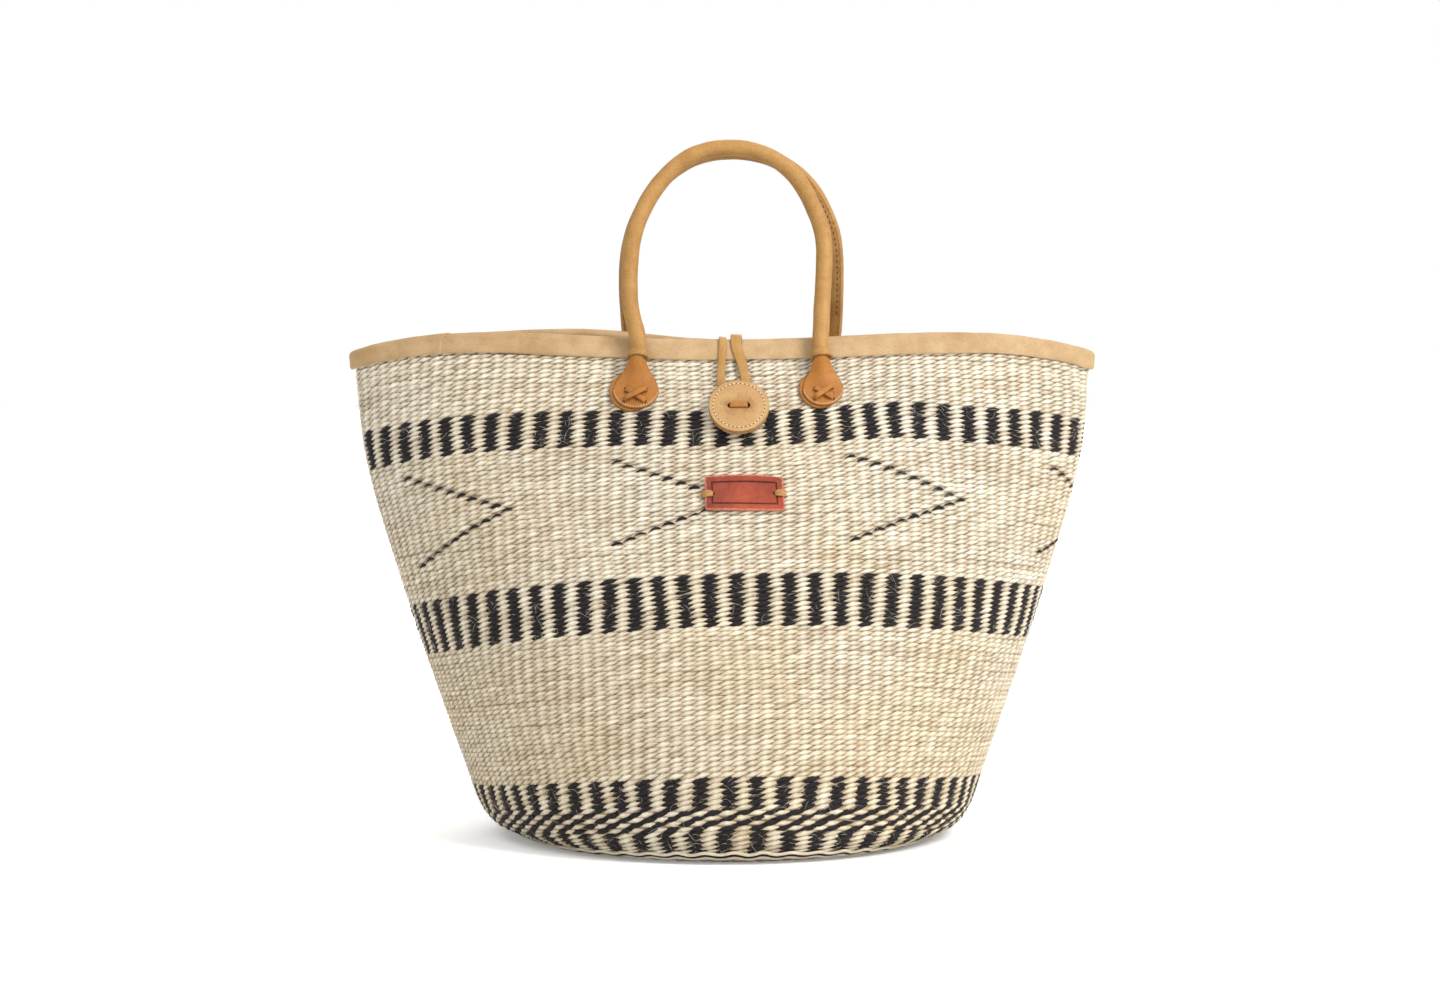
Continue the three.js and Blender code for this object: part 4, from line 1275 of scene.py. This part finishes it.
def button_disc(matrix, name, level, domed):
    """A leather disc with a burnished edge and two punched holes."""
    shape = bmesh.new()
    bmesh.ops.create_circle(shape, cap_ends=True, segments=72, radius=button_radius)
    thicken(shape, button_disc_thickness)
    round_rim(shape, 0.5 * mm, 3)
    holes = (-button_hole_spacing / 2, button_hole_spacing / 2)
    punch = bmesh.new()
    for hole in holes:
        place = Matrix.Translation((hole, 0, button_disc_thickness / 2))
        bmesh.ops.create_cone(punch, cap_ends=True, segments=28, radius1=button_hole_radius,
                              radius2=button_hole_radius, depth=4 * button_disc_thickness, matrix=place)
    blank = in_scene(name, as_mesh(name, shape))
    punches = in_scene("punch", as_mesh("punch", punch))
    cut = blank.modifiers.new("holes", "BOOLEAN")
    cut.operation = "DIFFERENCE"
    cut.object = punches
    cut.solver = "EXACT"
    bpy.context.view_layer.update()
    finished = bpy.data.meshes.new_from_object(blank.evaluated_get(bpy.context.evaluated_depsgraph_get()))
    for made in (blank, punches):
        bpy.data.objects.remove(made)
    disc = bmesh.new()
    disc.from_mesh(finished)
    edge = disc.verts.layers.float.new("edge")
    for corner in disc.verts:
        x, y, z = corner.co
        reach = math.hypot(x, y)
        hole_reach = min(math.hypot(x - hole, y) for hole in holes)
        burnished = reach > button_radius - 0.3 * mm or hole_reach < button_hole_radius * 1.02
        corner[edge] = 0.85 if burnished else 0.0
        waver = 1 + 0.006 * math.sin(3 * math.atan2(y, x) + 0.7)
        dome = domed * (1 - (reach / button_radius) ** 2)
        corner.co = (x * waver, y * waver, z + level + dome)
    put(disc, matrix)
    piece = keep(f"{name}_leather", disc, "button", (name,), "button")
    piece.data.set_sharp_from_angle(angle=math.radians(38))


def button_stitches(matrix):
    """A ring of stitches near the button's edge, and dark dashes between them as painted shade in the awl
    holes.
    """
    count = 38
    reach = button_radius - stitch_inset
    outs = np.broadcast_to(matrix[:3, 2], (count, 3))

    def spots(share):
        angle = full_turn(count) + 2 * math.pi / count * share
        return moved(matrix, together(reach * np.cos(angle), reach * np.sin(angle), bar_level + 0.05 * mm))

    thread_stitches("button_edge_stitches", spots(0.2), spots(0.8), outs, 0.8 * mm, 0.25 * mm,
                    ("button_stitching",), "button")
    # Dark dashes with no lift: painted shade in the awl holes
    thread_stitches("button_awl_hole_shade", spots(-0.16), spots(0.16), outs, 0.75 * mm, 0.0, (), "button", "slit")


def button_thong(matrix):
    """A flat thong from hole to hole, its shank through the wall and its knot behind it."""
    half = button_hole_spacing / 2
    half_thick = button_thong_thickness / 2
    top = bar_level + half_thick
    low = back_disc_level - gap - half_thick
    way = ((-0.2, low), (-1, low + 0.4 * mm), (-1, front_disc_level), (-0.9, top - 0.2 * mm),
           (0, top + 0.2 * mm), (0.9, top - 0.2 * mm), (1, front_disc_level),
           (1, low + 0.4 * mm), (0.2, low))
    points = [(half * k, 0, z) for k, z in way]
    bar = strap(matrix, points, 40, matrix[:3, 1], button_thong_width / 2, half_thick, 12)
    knot_place = (0, 0, knot_level)
    shank = strap(matrix, [(0, 0, low), (0.2 * mm, 0, 0), knot_place], 12, matrix[:3, 0],
                  button_shank_radius, button_shank_radius, 12, 1)
    shapes = [bar, shank, knot(matrix, knot_place)]
    keep("button_lace", joined(shapes), "golden", ("button_thong",), "button")


def knot(matrix, place):
    """An overhand knot: a fat turn of thong with a second turn lying across it."""
    shapes = []
    for tilt, reach in ((0.25, 0.62), (-0.3, 0.5)):
        turn = np.linspace(0, 2 * math.pi * 0.97, 26)
        line = together(knot_radius * reach * np.cos(turn), knot_radius * reach * np.sin(turn),
                        knot_thickness * tilt * np.sin(turn + 1))
        shapes.append(swept(moved(matrix, line + place), matrix[:3, 2],
                            knot_thickness * 0.36, knot_radius * 0.3, 10, 0.8))
    return joined(shapes)


def button():
    """The button: two discs, stitches and a thong, tilted a little on the wall."""
    matrix = wall_frame(button_offset, button_height) @ np.array(Matrix.Rotation(-button_tilt, 4, "X"))
    button_disc(matrix, "button_back_disc", back_disc_level, 0.0)
    button_disc(matrix, "button_front_disc", front_disc_level, 0.25 * mm)
    button_stitches(matrix)
    button_thong(matrix)


# Closure loop
def on_wall(x, height, level, turned=False):
    return moved(wall_frame(-x if turned else x, height, turned), (0, 0, level))


def over_rim(x, angle, turned, lift=0.0):
    """A point that clears the binding at an angle of its fold, 0 at the outside and upright at the top."""
    top = wall_point(np.arcsin((-x if turned else x) / (mouth_width / 2)), 1.0, wall_thickness / 2)
    reach = wall_thickness / 2 + binding_stand + gap + lacing_thickness / 2
    point = top + (0, -reach * math.cos(angle), (reach + lift) * math.sin(angle))
    return point * (-1, -1, 1) if turned else point


def closure_loop():
    """A flat thong round the button's shank, over both rims and down to its knot at the rear."""
    half = lacing_thickness / 2
    shank = button_shank_radius + gap * 2 + loop_width / 2
    binding_edge = basket_height - binding_drop
    lifted = binding_stand + gap + half
    way = np.linspace(0, 1, 110)
    strands = []
    for side in (-1, 1):
        top_x = loop_top_offset + side * loop_top_spacing / 2 + (side + 1) * 0.6 * mm
        lift = (0.8 + 0.8 * side) * mm
        belly_x = (loop_top_offset + button_offset) / 2 + side * loop_belly_spacing / 2
        points = [
            on_wall(button_offset + side * shank, button_height - gap, gap + half),
            on_wall(button_offset + side * shank * 1.2, button_height + loop_width, gap + half),
            on_wall(belly_x, button_height + loop_belly_above_button, gap + half * 2),
            on_wall((belly_x * 3 + top_x * 2) / 5, binding_edge - loop_width, lifted),
            *[over_rim(top_x, math.pi * share, False, lift) for share in (0, 0.25, 0.5)],
            np.array([top_x, 0, over_rim(top_x, math.pi / 2, False)[2] - loop_sag + lift]),
            *[over_rim(top_x, math.pi * share, True) for share in (0.5, 0.25, 0)],
            on_wall(top_x, binding_edge - loop_width, lifted, True),
            on_wall(top_x, loop_rear_height, gap + half, True),
            on_wall(top_x * 0.8 + loop_top_offset * 0.2, loop_rear_height - mm, -wall_thickness, True),
        ]
        twist = 0.12 * np.sin(9 * way + side) + 0.35 * side * bell(way, 0.38, 0.07)
        fullness = 0.53 + (side + 1) * (0.05 + 0.09 * bell(way, 0.4, 0.13))
        strands.append(swept(curve_through(points, way), unit(together(1.0, 0.0, twist)),
                             loop_width * fullness, half, 12, 0.5))
    front = wall_frame(button_offset, button_height)
    turn = np.linspace(math.pi * 0.97, math.pi * 2.03, 22)
    bend = together(shank * np.cos(turn), shank * np.sin(turn), gap + half)
    outward = together(np.cos(turn), np.sin(turn), 0.0) @ front[:3, :3].T
    strands.append(swept(moved(front, bend), outward, loop_width / 2, half, 12, 0.5))
    behind = wall_frame(-loop_top_offset, loop_rear_height, True)
    strands.append(knot(behind, (0, 0, knot_level)))
    keep("closing_thong", joined(strands), "tan", ("closure_loop",))


# Patch
def patch():
    """A bare leather patch with a bowed top edge and one tooled line inside its border."""
    matrix = wall_frame(patch_offset, patch_centre_height)
    half_x, half_y = patch_width / 2, patch_height / 2
    border = 4.2 * mm
    border_x, border_y = half_x - border * 1.1, half_y - border * 0.8
    shape = bmesh.new()
    bmesh.ops.create_grid(shape, x_segments=26, y_segments=12, size=1)
    bmesh.ops.scale(shape, vec=(half_x, half_y, 1), verts=shape.verts)
    thicken(shape, patch_thickness)
    corners = [e for e in shape.edges if abs(e.verts[0].co.z - e.verts[1].co.z) > mm
               and abs(abs(e.verts[0].co.x) - half_x) < gap and abs(abs(e.verts[0].co.y) - half_y) < gap]
    round_off(shape, corners, 1.2 * mm, 5)
    round_rim(shape, 0.4 * mm, 2)
    top = [f for f in shape.faces if f.normal.z > 0.99 and abs(f.calc_center_median().x) < border_x
           and abs(f.calc_center_median().y) < border_y]
    bmesh.ops.inset_region(shape, faces=top, thickness=0.3 * mm, depth=-0.6 * mm, use_even_offset=True)
    groove = bmesh.ops.inset_region(shape, faces=top, thickness=0.7 * mm, depth=0)["faces"]
    bmesh.ops.inset_region(shape, faces=top, thickness=0.3 * mm, depth=0.45 * mm)
    for face in groove:
        face.material_index = 1
    edge = shape.verts.layers.float.new("edge")
    for corner in shape.verts:
        x, y, z = corner.co
        x_share, y_share = x / half_x, y / half_y
        outer = abs(x) > half_x - 0.5 * mm or abs(y) > half_y - 0.5 * mm
        corner[edge] = 0.9 if outer else 0.0
        bow = patch_bow * (1 - x_share**2) * (0.5 + 0.5 * y_share)
        curl = 0.3 * mm * x_share**4 + 0.25 * mm * math.sin(x / (9 * mm)) * y_share
        spread = 0.05 * (half_y - y) * (1 + x_share) / 2
        corner.co = (x + spread, y + bow - 0.02 * x, z + gap + curl)
    put(shape, matrix)
    keep("patch_leather", shape, ("patch", "slit"), ("leather_patch",), smooth=False)
    for side, label in ((-1, "left"), (1, "right")):
        patch_tie(matrix, side, label)


def patch_tie(matrix, side, label):
    """Raffia tied through the patch and the weave: strands side by side, and a dark lens as painted shade in
    the hole they leave.
    """
    inner = side * (patch_width / 2 - tie_span * 0.72)
    outer = side * (patch_width / 2 + tie_span * 0.28)
    middle = (inner + outer) / 2
    top = gap + patch_thickness + 0.7 * mm
    low = -wall_thickness - gap - 0.6 * mm
    way = ((inner, 0.3, low), (inner, 0.4, patch_thickness), (inner + side * 0.8 * mm, 0.8, top),
           (middle, 1.1, top + 0.4 * mm), (outer - side * 0.6 * mm, 1, top * 0.6), (outer, 0.5, 0.2 * mm),
           (outer, 0.4, low), (middle, 1, low - 0.2 * mm), (inner, 0.3, low))
    strands = []
    for k in (-1.5, -0.5, 0.5, 1.5):
        points = [(x, k * 1.1 * mm * share, z) for x, share, z in way]
        strands.append(strap(matrix, points, 40, matrix[:3, 1], 0.7 * mm, 0.45 * mm, 8, 0.8))
    keep(f"patch_raffia_{label}", joined(strands), "raffia", (f"patch_tie_{label}",))
    # A flat dark lens beside the raffia: painted shade in the hole
    level = gap + patch_thickness + 0.05 * mm
    line = together(inner - side * 0.7 * mm, 1.3 * mm * np.linspace(-1, 1, 9), level)
    hole = swept(moved(matrix, line), matrix[:3, 0], 1.0 * mm, 0.3 * mm, 8, 1)
    keep(f"patch_hole_shade_{label}", hole, "slit")


# Stage
def stage():
    """A plain pale floor, a white background, soft lamps and the photograph's camera."""
    scene = bpy.context.scene
    scene.view_settings.view_transform = "Standard"
    shape = bmesh.new()
    bmesh.ops.create_grid(shape, x_segments=1, y_segments=1, size=12)
    floor = in_scene("floor", as_mesh("floor", shape))
    material, tree, shader = new_material("Floor paper")
    seen = node(tree, "ShaderNodeLightPath").outputs["Is Camera Ray"]
    white = blended(tree, seen, colour(236, 236, 236), (1, 1, 1, 1))
    tree.links.new(white, shader.inputs["Base Color"])
    shader.inputs["Roughness"].default_value = 0.9
    shader.inputs["Emission Color"].default_value = (1, 1, 1, 1)
    away = node(tree, "ShaderNodeVectorMath", {0: own_place(tree)}, operation="LENGTH").outputs["Value"]
    glow = maths(tree, "MULTIPLY", seen, ranged(tree, away, 0.5, 1.6, 0.22, 1.0))
    tree.links.new(glow, shader.inputs["Emission Strength"])
    floor.data.materials.append(material)

    scene.world = bpy.data.worlds.new("studio")
    scene.world.use_nodes = True
    sky = scene.world.node_tree
    sky.nodes.clear()
    path = node(sky, "ShaderNodeLightPath").outputs["Is Camera Ray"]
    strength = ranged(sky, path, 0.0, 1.0, 0.7, 1.0)
    light = node(sky, "ShaderNodeBackground", {"Color": (1, 1, 1, 1), "Strength": strength})
    node(sky, "ShaderNodeOutputWorld", {"Surface": light.outputs[0]})

    target = Vector((0, 0, basket_height * 0.55))
    for name, place, size, power, tint in (
        ("key", (1.7, -1.4, 1.9), 1.1, 64, (1.0, 0.985, 0.96)),
        ("fill", (-1.3, -1.3, 2.3), 1.4, 15, (0.98, 0.99, 1.0)),
        ("back", (0.3, 1.8, 1.9), 1.5, 16, (1.0, 0.99, 0.97)),
    ):
        data = bpy.data.lights.new(name, "AREA")
        data.energy = power
        data.size = size
        data.color = tint
        lamp = in_scene(name, data)
        lamp.location = place
        lamp.rotation_euler = (target - Vector(place)).to_track_quat("-Z", "Y").to_euler()

    data = bpy.data.cameras.new("photo camera")
    data.sensor_width = sensor_width
    data.lens = focal_pixels / photo_width * sensor_width
    data.shift_x = -centre_shift_pixels / photo_width
    data.clip_end = 60
    scene.camera = in_scene("photo camera", data)
    scene.camera.location = (0, -camera_distance, camera_height)
    scene.camera.rotation_euler = (math.pi / 2 - camera_pitch, 0, 0)


stage()
materials = all_materials()
profile_shares = np.linspace(0, 1, 2001)
wall_profile_heights = curve_through(wall_profile, profile_shares)[:, 2]
lines = weave_lines()
woven_faces = (WovenFace(lines, False), WovenFace(lines, True))
weave(woven_faces)
warp_shell(woven_faces)
edge_cords(woven_faces[0])
stray_fibres(woven_faces[0])
rim_binding()
handle("front", front_handle_spacing, front_handle_offset)
handle("rear", rear_handle_spacing, -rear_handle_offset)
button()
closure_loop()
patch()
